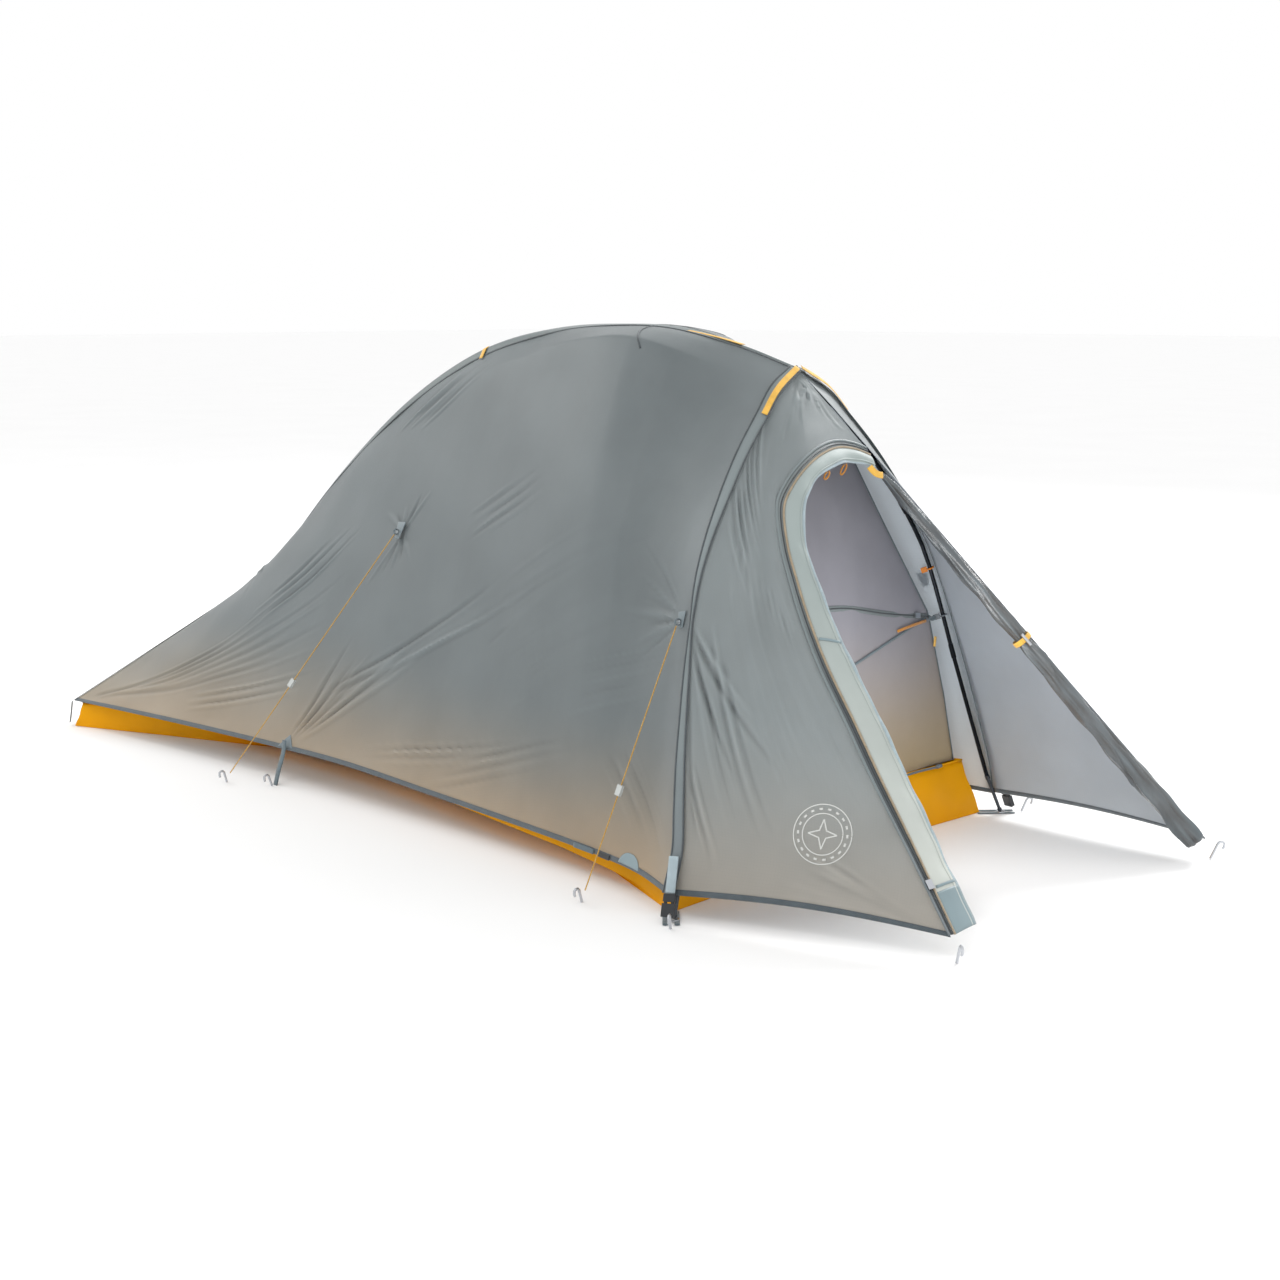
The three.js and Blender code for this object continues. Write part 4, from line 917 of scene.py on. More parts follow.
def vestibule_right_grid():
    """Short half of the vestibule, behind the rolled door."""
    u = 1 - V_GRID[::-1]
    edge = seam(1, V_GRID[::-1]) + (0, 0.0005, 0)
    roll = door_crease(1 - u) + mm([2, 5, 0]) * np.minimum(1, (1 - u) * 12)[:, None]
    w = np.linspace(0, 1, 41)
    points = ruled(edge, roll, len(w), HEM_RISE * 0.8, u)
    normals = grid_normals(points, np.array([1, 0.5, 0.6]))
    made = fan((1.0, 0.5), ((0.45, 0.15), (0.45, 0.85)), 10, 0.008, 0.0034)
    made += fan((0.0, 0.99), ((0.35, 0.1), (0.75, 0.5)), 9, 0.008, 0.0036)
    made += fan((0.0, 0.02), ((0.5, 0.6), (0.2, 0.9)), 5, 0.008, 0.0028)
    keep = np.minimum(1, w * 12)[None] * np.minimum(1, (1 - w) * 12)[None] * np.minimum(1, u * 14)[:, None]
    creases = folds(points, made) * keep
    return points + normals * creases[..., None], creases


def canopy():
    """The whole fly as one sheet: two sides, foot and both halves of the vestibule."""
    (left, left_creases), (right, right_creases) = side_grid(-1), side_grid(1)
    foot, foot_creases = foot_grid(left[-1], right[-1])
    front_left, front_left_creases = vestibule_left_grid()
    front_right, front_right_creases = vestibule_right_grid()
    creases = (left_creases, right_creases, foot_creases, front_left_creases, front_right_creases)
    plan = [(left, (0, -1, 0.8), 0), (right, (0, 1, 0.8), 0), (foot, FOOT_OUT, 0),
            (front_left, FRONT_OUT[-1], 1), (front_right, FRONT_OUT[1], 1)]
    obj = joined("fly_canopy", plan, [FLY, FRONT, FLY_INSIDE, FRONT_INSIDE], slot="fly_fabric",
                 replaces=["fly_side_left", "fly_side_right", "fly_foot", "vestibule_left",
                           "vestibule_right"])
    # Crease heights kept on the mesh, from which the fly's materials paint lighter crests and darker
    # valleys: painted light and shade.
    layer = obj.data.attributes.new("crease", "FLOAT", "POINT")
    layer.data.foreach_set("value", np.concatenate([part.ravel() for part in creases]).astype(np.float32))
    welded(obj)
    thicken(obj, CLOTH, inside=2, rim=2)
    return {"left": left, "right": right, "foot": foot, "front_left": front_left, "front_right": front_right,
            "object": obj}


FLY_GRIDS = canopy()


def tree_of(obj):
    """Search tree of a mesh, before its thickness is added."""
    mesh = obj.data
    return BVHTree.FromPolygons([vertex.co for vertex in mesh.vertices],
                                [face.vertices for face in mesh.polygons])


FLY_TREE = tree_of(FLY_GRIDS["object"])


def laid_on_fly(points, outward, gap):
    """The points moved along a direction on to the fly's outer face, and the normals there."""
    outward = Vector(unit(np.asarray(outward, float)))
    spots, normals = [], []
    for point in np.asarray(points, float).reshape(-1, 3):
        start = Vector(point) + outward * 0.08
        hit, normal, _, _ = FLY_TREE.ray_cast(start, -outward, 0.16)
        if hit is None:
            hit, normal = Vector(point), outward
        normal = normal if normal.dot(outward) > 0 else -normal
        spots.append(hit + normal * gap)
        normals.append(normal)
    shape = np.shape(points)
    return np.array(spots).reshape(shape), np.array(normals).reshape(shape)


def column_normals(grid, outward, last=False):
    """Normals of a grid along its first or last column."""
    normals = grid_normals(grid, np.array(outward, float))
    return normals[-1 if last else 0]


def row_normals(grid, outward, last=False):
    """Normals of a grid along its first or last row."""
    normals = grid_normals(grid, np.array(outward, float))
    return normals[:, -1 if last else 0]


LEG_BAND = np.array([[0, 0.022], [0.06, 0.026], [0.3, 0.023], [0.5, 0.010], [0.555, 0.005], [0.62, 0.011],
                     [0.8, 0.021], [1, 0.025]])


def leg_normals(side):
    """Directions halfway between a side panel and the vestibule, along the leg's seam."""
    label = "left" if side < 0 else "right"
    flank = column_normals(FLY_GRIDS[label], (0, side, 0.8))
    front = FLY_GRIDS["front_" + label]
    edge = row_normals(front, FRONT_OUT[side])[:SIDE_ROWS][::-1]
    return unit(flank + edge)


def leg_band(side):
    """Sleeve of doubled cloth over a front pole, with a dark seam along each edge."""
    label = "left" if side < 0 else "right"
    normals = leg_normals(side)[3:]
    v = V_GRID[3:]
    path = seam(side, v) + normals * 0.0006
    width = column(LEG_BAND, v)
    ribbon(f"leg_band_{label}", path, normals, width, 0.0011, SLEEVE_PALE, crown=0.9, slot="fly_fabric")
    across = frames_along(path, normals)[0]
    for name, sign in (("front", -side), ("rear", side)):
        edge = path + across * (sign * width / 2)[:, None]
        ribbon(f"leg_seam_{name}_{label}", edge, normals, 0.0042, 0.0017, SEAM_TAPE, slot="zip_tape")


def ridge_sleeve():
    """Doubled cloth that runs over the ridge pole from the hub to the foot crease."""
    s = np.linspace(0.005, 0.97, 190)
    half = np.interp(s, [0, 0.16, 0.22, 0.6, 0.8, 0.97], [0.006, 0.008, 0.019, 0.021, 0.018, 0.010])
    shares = np.linspace(-1, 1, 11)
    height = np.linalg.norm(RIDGE_CURVE.at(s) - HEM_CURVE.at(s), axis=1)
    grid = np.zeros((len(s), len(shares), 3))
    for j, share in enumerate(shares):
        side = -1 if share < 0 else 1
        grid[:, j] = side_point(side, s, np.abs(share) * half / height)
    normals = grid_normals(grid, np.array([0, 0, 1.0]))
    obj = sheet_from("ridge_sleeve", grid + normals * 0.0011, (0, 0, 1), SLEEVE, 0.001, slot="fly_fabric")
    for side, j in ((-1, 0), (1, -1)):
        label = "left" if side < 0 else "right"
        ribbon(f"ridge_seam_{label}", grid[:, j], normals[:, j], 0.0036, 0.0016, SEAM_TAPE, slot="zip_tape")
    return obj


def strut_seams():
    """Short seams down both sides from the ridge, over the ends of the cross strut."""
    v = np.linspace(0.006, 0.092, 16)
    s = np.interp(v, [0.006, 0.039, 0.069, 0.092], [0.184, 0.175, 0.160, 0.152])
    for side, label in SIDES:
        path, normals = laid_on_fly(side_point(side, s, v), (0.1, 0.8 * side, 0.6), 0.0004)
        ribbon(f"strut_seam_{label}", path, normals, 0.0040, 0.0010, SEAM_TAPE, slot="zip_tape")


def hems():
    """Binding along every lower edge of the fly."""
    for side, label in SIDES:
        grid = FLY_GRIDS[label]
        edging(f"hem_side_{label}", grid[:, -1], grid[:, -2] - grid[:, -1],
               row_normals(grid, (0, side, 0.8), last=True), BINDING, slot="zip_tape")
    foot = FLY_GRIDS["foot"]
    edging("hem_foot", foot[-1], foot[-2] - foot[-1], column_normals(foot, (-1, 0, 1), last=True), BINDING,
           slot="zip_tape")
    for side, label in SIDES:
        grid = FLY_GRIDS["front_" + label]
        normals = column_normals(grid, FRONT_OUT[side])
        edging(f"hem_front_{label}", grid[0], grid[1] - grid[0], normals, BINDING, slot="zip_tape")


def crease_seams():
    """Flat-felled seams where the foot panel meets the sides; the seam down the door's crease is not drawn.
    """
    for side, label in SIDES:
        grid = FLY_GRIDS[label]
        foot = FLY_GRIDS["foot"]
        edge = grid[-1]
        near = foot[:, 0 if side < 0 else -1]
        normals = unit(column_normals(grid, (0, side, 0.8), last=True)
                       + row_normals(foot, (-1, 0, 1), last=side > 0))
        path = (edge + near) / 2 + normals * 0.0004
        ribbon(f"crease_seam_{label}", path[4:], normals[4:], 0.007, 0.0012, SEAM_TAPE, slot="zip_tape")


for each in (-1, 1):
    leg_band(each)
ridge_sleeve()
strut_seams()
hems()
crease_seams()


# ---- door: zip, flap and roll ------------------------------------------------------------------------
def zip_frame(u):
    """Directions across the zip, towards the doorway, and out of the vestibule."""
    across = unit(FLAP_CURVE.at(u) - ZIP_CURVE.at(u))
    along = ZIP_CURVE.tangent(u)
    out = unit(np.cross(across, along))
    return across, np.where((out @ np.array([1, -0.3, 0.5]) < 0)[:, None], -out, out)


def zip_coil_material():
    """Nylon coil: a fine tooth every 2.4 mm along the path."""
    shader = Shader("zip_coil", Roughness=0.4)
    teeth = shader.add("TexWave", {"Vector": shader.place(source="UV"), "Scale": math.pi / (10 * 0.0024)},
                       wave_type="BANDS", bands_direction="X").outputs["Fac"]
    shader.link(shader.mix(teeth, colour(38, 42, 46), colour(88, 94, 98)), "Base Color")
    shader.link(shader.bump(teeth, 0.0009, 1.0), "Normal")
    return shader.material


ZIP_COIL = zip_coil_material()


def door_zip():
    u = np.linspace(0.002, 0.998, 240)
    across, out = zip_frame(u)
    path = ZIP_CURVE.at(u)
    ribbon("door_zip_tape", path - out * 0.0012, out, 0.0118, 0.0010, ZIP_TAPE, slot="zip_tape",
           replaces=["door_zip"])
    rod("door_zip_coil", path + out * 0.0003, 0.0013, ZIP_COIL, sides=10, up=(0.6, -0.3, 0.5),
        slot="zip_tape")
    edge = path - across * 0.0085 + out * 0.0006
    ribbon("door_zip_seam", edge, out, 0.0050, 0.0010, SLEEVE_PALE, slot="zip_tape")


def rain_flap():
    """Pale flap that covers the zip, with piping, cross seams and a corner patch."""
    u = np.linspace(0.0, 1.0, 260)
    w = np.linspace(0, 1, 11)
    out = zip_frame(u)[1]
    start, end = zip_point(u, 0.0068), FLAP_CURVE.at(u)
    grid = start[:, None] * (1 - w)[None, :, None] + end[:, None] * w[None, :, None]
    swell = 0.0035 * np.sin(np.pi * w)[None] + 0.0022 * np.sin(44 * u)[:, None] * w[None] ** 2
    swell = swell + 0.0012 * np.sin(97 * u + 1.0)[:, None] * w[None]
    grid = grid + out[:, None] * swell[..., None]
    flap = sheet_from("rain_flap_cloth", grid, (1, -0.3, 0.5), FLAP, 0.0012, slot="flap_fabric",
                      replaces=["rain_flap"])
    ribbon("flap_piping", grid[:, 0] + out * 0.0004, out, 0.0042, 0.0017, PIPING, slot="flap_fabric")
    edging("flap_edge", grid[:, -1], grid[:, -2] - grid[:, -1], out, PALE_WEBBING, width=0.006,
           thickness=0.0011, slot="flap_fabric")
    row = grid[:, 8]
    ribbon("flap_stitching", row + out * 0.0002, out, 0.0030, 0.0008, FLAP, slot="flap_fabric")
    for number, place in enumerate((0.075, 0.50)):
        k = int(place * (len(u) - 1))
        path = grid[k, 1:-1] + out[k] * 0.0006
        normals = np.broadcast_to(out[k], path.shape)
        ribbon(f"flap_seam_{number + 1}", path, normals, 0.0050, 0.0010, PALE_PATCH, slot="flap_fabric")
    corner = grid[:18, :] + out[:18, None] * 0.0010
    sheet_from("flap_corner_patch", corner, (1, -0.3, 0.5), PALE_PATCH, 0.001, slot="flap_fabric")
    return flap


def roll_centre(t, radius):
    towards = unit(np.array([0.1, -0.75, -0.45]))
    return door_crease(t) + towards * (np.asarray(radius)[..., None] + 0.004)


LOOP_PLACE = 0.56
ROLL_RIPPLES = 14
ROLL_START = 0.215
ROLL_END = 0.99


def rolled_door():
    """The door cloth, rolled up along the crease and gathered by its loop."""
    stations, sides = 230, 72
    t = np.linspace(ROLL_START, ROLL_END, stations)
    base = 0.011 + 0.009 * (t - ROLL_START) / (ROLL_END - ROLL_START)
    pinch = 1 - 0.20 * np.exp(-((t - LOOP_PLACE) / 0.018) ** 2)
    ends = np.minimum(1, (t - ROLL_START) / 0.05 * 0.55 + 0.45)
    ends = ends * np.minimum(1, (ROLL_END - t) / 0.003 * 0.1 + 0.9)
    path = roll_centre(t, base)
    along = unit(V_RIGHT - APEX)
    across = np.broadcast_to(unit(np.cross(along, np.array([0, 0, 1.0]))), path.shape)
    up = np.cross(across, along)
    angle = np.linspace(0, 2 * np.pi, sides, endpoint=False)
    ripple = np.zeros((stations, sides))
    for _ in range(ROLL_RIPPLES):
        waves = int(RNG.integers(2, 11))
        twist = RNG.uniform(-26, 26)
        ripple += RNG.uniform(0.3, 1.0) / (waves + 2) * np.sin(waves * angle[None] + twist * t[:, None]
                                                                 + RNG.uniform(0, 6.3))
    spiral = np.mod(angle[None] + 9 * t[:, None] + 0.6 * np.sin(30 * t[:, None]), 2 * np.pi) / (2 * np.pi)
    ripple += 0.5 * np.sin(3 * angle[None] - 21 * t[:, None]) * np.sin(64 * t[:, None] + 2 * angle[None])
    radius = base[:, None] * (0.88 + 0.26 * ripple + 0.16 * spiral) * (pinch * ends)[:, None]
    radius = radius * (1 + 0.05 * np.sin(70 * t[:, None] + 2 * angle[None]))
    profile = np.stack([np.cos(angle)[None] * radius, np.sin(angle)[None] * radius], axis=-1)
    roll = sweep("door_roll", path, across, np.broadcast_to(up, path.shape), profile, ROLL_CLOTH,
                 slot="roll_fabric", replaces=["rolled_door"])
    # The ripples kept as the 'crease' attribute, from which roll_cloth paints lighter and darker streaks:
    # painted sheen and shade.
    heights = np.zeros(len(roll.data.vertices))
    heights[:ripple.size] = ripple.ravel()
    roll.data.attributes.new("crease", "FLOAT", "POINT").data.foreach_set("value", heights)
    return roll


def door_loop():
    """Tape loop round the roll, which the toggle goes through."""
    along = unit(V_RIGHT - APEX)
    centre = roll_centre(np.array(LOOP_PLACE), 0.0155)
    side = unit(np.cross(along, np.array([0, 0, 1.0])))
    up = np.cross(side, along)
    angle = np.linspace(0, 2 * np.pi, 49)
    path = centre + (np.cos(angle)[:, None] * side + np.sin(angle)[:, None] * up) * 0.0182
    normals = unit(path - centre)
    ribbon("door_loop_tape", path, normals, 0.011, 0.0012, YELLOW_TAPE, slot="reflective_tape",
           replaces=["door_loop"])


def door_top_tape():
    """Yellow webbing where the flap meets the rolled door, with two small loops below it."""
    start = FLAP_CURVE.at(0.985) + mm([4, -5, -2])
    end = start + 0.55 * (roll_centre(np.array(0.243), np.array(0.010)) + mm([4, -6, 11]) - start)
    t = np.linspace(0, 1, 24)[:, None]
    path = start + (end - start) * t + np.array([0.003, -0.004, -0.004]) * np.sin(np.pi * t)
    normals = all_facing((0.75, -0.6, 0.25), path)
    ribbon("door_top_tape", path, normals, 0.013, 0.0014, YELLOW_TAPE, slot="reflective_tape")
    for number, (u, reach) in enumerate(((0.87, 0.014), (0.925, 0.019))):
        top = FLAP_CURVE.at(u) + mm([1, -3, -3])
        turn = np.linspace(0, 2 * np.pi * 0.92, 30)
        loop = top + np.stack([0.002 * np.sin(turn), 0.004 * np.sin(turn) - reach / 3 * (1 - np.cos(turn)),
                               -reach / 2 * (1 - np.cos(turn))], axis=1)
        ribbon(f"door_tie_{number + 1}", loop, all_facing((0.8, -0.5, 0.2), loop), 0.0034, 0.0009,
               ORANGE_TAPE, slot="reflective_tape")


door_zip()
FLAP_SHEET = rain_flap()
rolled_door()
door_top_tape()
door_loop()


# ---- tapes, patches and loops on the fly ---------------------------------------------------------------
def yellow_tapes():
    """Strip from the apex down both leg seams, and one along the ridge."""
    for side, label in SIDES:
        rows = np.linspace(0.006, 0.142, 30)
        normals = np.stack([np.interp(rows, V_GRID, leg_normals(side)[:, k]) for k in range(3)], axis=1)
        path = seam(side, rows) + mm([6, 0, 2.4]) + normals * 0.0012
        ribbon(f"apex_tape_{label}", path, unit(normals + (0.5, 0, 0.2)), 0.012, 0.0012, YELLOW_TAPE,
               slot="reflective_tape", replaces=["apex_tape"] if side < 0 else [])
    s = np.linspace(0.072, 0.146, 30)
    path = RIDGE_CURVE.at(s) + (0, 0, 0.0022)
    normals = unit(np.cross(RIDGE_CURVE.tangent(s), np.array([0, 1.0, 0])))
    normals = normals * np.sign(normals[:, 2:3])
    ribbon("ridge_tape_strip", path, normals, 0.013, 0.0013, YELLOW_TAPE, slot="reflective_tape",
           replaces=["ridge_tape"])


def guy_patch(name, side, s, v, node, size=0.026):
    """Reinforcement patch with its webbing loop."""
    spot, down, normal = surface_frame(side, s, v)
    across = unit(np.cross(down, normal))
    if v > 0.5:
        spot = spot + normal * 0.001
    shift = np.array([-0.002 * (1 - s), 0, 0])
    shares = np.linspace(-1, 1, 13)
    a, b = np.meshgrid(shares, shares, indexing="ij")
    taper = 1 - 0.45 * (b + 1) / 2
    bulge = 0.0008 * (1 - a ** 4) * (1 - b ** 4)
    grid = (spot + shift + across * (a * size * taper)[..., None] + down * (b * size * 1.2)[..., None]
            + normal * (0.0016 + bulge)[..., None])
    sheet_from(name + "_patch", grid, normal, PATCH, 0.001, slot="guy_loop", replaces=[node])
    eye = spot + normal * 0.0084 + down * 0.006 + shift
    angle = np.linspace(-2.5, 2.5, 25)
    path = eye + (normal * np.cos(angle)[:, None] + down * np.sin(angle)[:, None]) * 0.0056
    ribbon(name + "_loop", path, unit(path - eye), 0.007, 0.0010, GREY_WEBBING, slot="guy_loop")
    turn = angle[:, None] * 1.25
    ring = eye + (down * np.sin(turn) + normal * np.cos(turn)) * 0.0050
    rod(name + "_ring", ring, 0.0009, ALLOY, up=tuple(across), slot="alloy")


def ridge_tab():
    """Small yellow loop sewn across the ridge sleeve."""
    v = np.linspace(-0.030, 0.030, 17)
    spots = np.stack([side_point(-1 if share < 0 else 1, 0.46, abs(share)) for share in v])
    path, normals = laid_on_fly(spots, (0, 0, 1), 0.0034)
    ribbon("ridge_tab", path, normals, 0.013, 0.0012, YELLOW_TAPE, slot="reflective_tape")


def hem_patch(name, side, s, height, half_width, material):
    """Patch on a side panel's hem; half_width gives its half width at a share of its height."""
    hem_length = HEM_CURVE.length
    drop = np.linalg.norm(side_point(side, s, 1.0) - side_point(side, s, 0.0))
    up = np.linspace(0.10, 0.98, 10)
    grid = np.array([[side_point(side, s + share * half_width(rise) / hem_length, 1 - rise * height / drop)
                      for share in np.linspace(-1, 1, 15)] for rise in up])
    spots = laid_on_fly(grid, (0, side, 0.5), 0.0014)[0]
    return sheet_from(name, spots, (0, side, 0.5), material, 0.0009, slot="fly_fabric")


def hem_details():
    """Half-round and three-cornered patches on both side hems, and a plain sewn-in label."""
    for side, label in SIDES:
        hem_patch(f"hem_round_patch_{label}", side, 0.068, 0.026,
                  lambda rise: 0.032 * math.sqrt(1 - rise ** 2) + 0.001, PALE_PATCH)
        hem_patch(f"hem_corner_patch_{label}", side, 0.598, 0.034, lambda rise: 0.030 * (1 - rise) + 0.001,
                  PATCH)
        for part, (start, end), material in (("dark", (0.094, 0.110), BLACK_LABEL),
                                             ("grey", (0.116, 0.143), GREY_WEBBING)):
            spots = side_point(side, np.linspace(start, end, 14), 0.990)
            path, normals = laid_on_fly(spots, (0, side, 0.5), 0.0034)
            path = path + (0, 0.002 * side, -0.008)
            ribbon(f"hem_label_{part}_{label}", path, normals, 0.010, 0.0008, material, slot="zip_tape")


def round_mark():
    """Plain printed mark on the porch: two rings round a four-pointed star."""
    grid = FLY_GRIDS["front_left"]
    middle = grid[int(0.107 * grid.shape[0]), int(0.63 * grid.shape[1])]
    out = laid_on_fly(middle[None], (1, -0.5, 0.35), 0)[1][0]
    across = unit(np.cross(np.array([0, 0, 1.0]), out))
    up = np.cross(out, across)

    def stroke(name, shape, width):
        shape = np.asarray(shape, float)
        spots = middle + across * shape[:, :1] + up * shape[:, 1:]
        path, facing = laid_on_fly(spots, out, 0.0003)
        ribbon(name, path, facing, width, 0.0004, MARK, slot="fly_fabric")

    angle = np.linspace(0, 2 * np.pi, 73)
    for number, radius in enumerate((0.052, 0.036)):
        stroke(f"mark_ring_{number + 1}", np.stack([np.cos(angle), np.sin(angle)], axis=1) * radius, 0.0022)
    turns = np.linspace(0, 2 * np.pi, 9) + np.pi / 2
    star = np.stack([np.cos(turns), np.sin(turns)], axis=1) * np.array([26, 9] * 4 + [26])[:, None] * 0.001
    stroke("mark_star", np.vstack([np.linspace(a, b, 8) for a, b in zip(star[:-1], star[1:])]), 0.0026)
    dots = np.radians(np.arange(0, 360, 20))
    for number, turn in enumerate(dots):
        spot = np.array([math.cos(turn), math.sin(turn)]) * 0.044
        along = np.array([-math.sin(turn), math.cos(turn)]) * 0.0032
        stroke(f"mark_dash_{number + 1}", np.linspace(spot - along, spot + along, 4), 0.0040)


yellow_tapes()
ridge_tab()
hem_details()
round_mark()
for each, label in SIDES:
    guy_patch(f"guy_side_{label}", each, *GUY_SPOTS["side"], node=f"guy_loop_side_{label}", size=0.017)
    guy_patch(f"guy_leg_{label}", each, *GUY_SPOTS["leg"], node=f"guy_loop_leg_{label}", size=0.013)


# ---- inner tent -----------------------------------------------------------------------------------------
def inner_ridge(s):
    x = 0.944 - s * (0.944 + 1.022)
    cover = np.where(x > -0.8, column(RIDGE, x), column(RIDGE_TAIL, x))
    return np.stack([x, 0 * x, cover - 0.066 + 0.018 * s], axis=-1)


def on_inner_front(y, z):
    y, z = np.broadcast_arrays(np.asarray(y, float), np.asarray(z, float))
    return np.stack([LEG_FOOT_X - LEG_LEAN * z - column(INNER_GAP, z), y, z], axis=-1)


WALL_OUT = unit((1, 0, LEG_LEAN))


def inner_front_edge(side, v):
    z = INNER_EDGE[-1][0] + (INNER_EDGE[0][0] - INNER_EDGE[-1][0]) * np.asarray(v, float)
    return on_inner_front(side * column(INNER_EDGE, z), z)


def floor_outline(inset):
    """Outline of the floor, counter-clockwise from the left head corner."""
    def end(x, half):
        t = np.array([0.25, 0.5, 0.75])
        bow = FLOOR_END_BOW * (1 - np.abs(2 * t - 1) ** 2.4)
        return np.column_stack([x - np.sign(x) * bow, half * (1 - 2 * t), 0 * t])

    half = FLOOR_LENGTH / 2
    rows = np.vstack([end(half, -FLOOR_SIDE[0, 1]), FLOOR_SIDE, end(-half, FLOOR_SIDE[-1, 1]),
                      (FLOOR_SIDE * (1, -1, 1))[::-1]])
    pull = np.minimum(1, np.abs(rows) / (0.4, 0.2, 1.0)) * (inset, inset, 0)
    return rows - np.sign(rows) * pull


def rim_ring(inset, lift):
    """Top of the tray's wall, which leans in further at the two head corners."""
    rows = floor_outline(inset)
    x, y = rows[:, 0], rows[:, 1]
    share = np.maximum(0, x - HEAD_LEAN_FROM) / (FLOOR_LENGTH / 2 - HEAD_LEAN_FROM)
    pull = HEAD_LEAN * share * np.minimum(1, np.abs(y) / 0.2)
    return np.column_stack([x, y - np.sign(y) * pull, column(RIM_HEIGHT, x) + lift])


def rim_curve():
    points = rim_ring(TRAY_LEAN + 0.001, 0.0035)[3:18]
    points[-1, 1] = 0.003
    points[0] = inner_front_edge(1, 1.0)
    return Curve(points)


RIM_CURVE = rim_curve()


def inner_side_point(side, s, v):
    s, v = np.broadcast_arrays(np.asarray(s, float), np.asarray(v, float))
    top = inner_ridge(s) + (0, side * 0.003, 0)
    rim = RIM_CURVE.at(s) * (1, side, 1)
    share = v[..., None]
    bulge = inner_front_edge(side, v) - (inner_front_edge(side, 0.0) * (1 - share)
                                         + inner_front_edge(side, 1.0) * share)
    return top + (rim - top) * share + bulge * (np.maximum(0, 1 - s / 0.5) ** 2)[..., None]


def inner_tent():
    """Inner tent as one sheet: both sides and the front wall with its door."""
    s = np.linspace(0, 1, 130)[:, None]
    v = np.linspace(0, 1, 46)[None]
    grids = []
    for side in (-1, 1):
        points = inner_side_point(side, s, v)
        normals = grid_normals(points, np.array([0, side, 0.6]))
        sag = -0.010 * np.sin(np.pi * v) * np.sin(np.pi * s) ** 0.5 * (1 - 0.35 * np.cos(8 * np.pi * s))
        ripple = 0.0016 * np.sin(70 * s + 12 * v) * np.sin(np.pi * s) * np.sin(np.pi * v)
        grids.append(points + normals * (sag + ripple)[..., None])
    rows = np.linspace(0, 1, 46)
    columns = np.linspace(0, 1, 61)
    left, right = grids[0][0], grids[1][0]
    front = left[None] * (1 - columns)[:, None, None] + right[None] * columns[:, None, None]
    ease = (np.sin(np.pi * columns)[:, None] * np.sin(np.pi * rows)[None]) ** 0.5
    front[..., 0] += 0.003 * np.minimum(1, ease * 3)
    wave = 0.0009 * np.sin(26 * columns[:, None] + 7 * rows[None]) + 0.0007 * np.sin(
        13 * columns[:, None] - 31 * rows[None])
    front[..., 0] += wave * ease
    lines_ = fan((0.02, 0.55), ((0.9, 0.30), (0.9, 0.9)), 6, 0.012, 0.0012, start=0.3)
    lines_ += fan((0.98, 0.58), ((0.1, 0.35), (0.1, 0.95)), 6, 0.012, 0.0012, start=0.3)
    normals = grid_normals(front, np.array([1, 0, 0.2]))
    front = front + normals * (folds(front, lines_) * np.minimum(1, ease * 2))[..., None]
    plan = [(grids[0], (0, -1, 0.6), 0), (grids[1], (0, 1, 0.6), 0), (front, (1, 0, 0.2), 1)]
    obj = joined("inner_canopy", plan, [INNER_SIDE, INNER], slot="inner_fabric",
                 replaces=["inner_side_left", "inner_side_right", "inner_front"])
    welded(obj)
    thicken(obj, CLOTH)
    return obj, grids


INNER_SHEET, INNER_GRIDS = inner_tent()


def inner_seams():
    """Dark seams up both edges of the front wall and along the inner ridge."""
    for side, grid, label in ((-1, INNER_GRIDS[0], "left"), (1, INNER_GRIDS[1], "right")):
        path = grid[0, 1:]
        normals = all_facing((1, side * 0.6, 0.2), path)
        ribbon(f"inner_front_seam_{label}", path, normals, 0.0075, 0.0014, GREY_WEBBING, slot="zip_tape")
    ridge = INNER_GRIDS[0][2:, 0] * (1, 0, 1)
    normals = all_facing((0, 0, 1), ridge)
    ribbon("inner_ridge_seam", ridge, normals, 0.010, 0.0012, GREY_WEBBING, slot="zip_tape")


def inner_door():
    """Curved zip of the inner door: its tape and its coil."""
    curve = Curve(on_inner_front(INNER_ZIP[:, 0], INNER_ZIP[:, 1]))
    u = np.linspace(0, 1, 110)
    path = curve.at(u) + WALL_OUT * 0.0068
    normals = all_facing(WALL_OUT, path)
    ribbon("inner_zip_tape", path, normals, 0.012, 0.0010, ZIP_TAPE, slot="zip_tape",
           replaces=["inner_door_zip"])
    rod("inner_zip_coil", path + WALL_OUT * 0.0018, 0.0010, ZIP_COIL, sides=8, slot="zip_tape")


def on_wall(y, z, gap=0.0092):
    """Spots just in front of the inner tent's front wall."""
    return on_inner_front(y, z) + WALL_OUT * gap


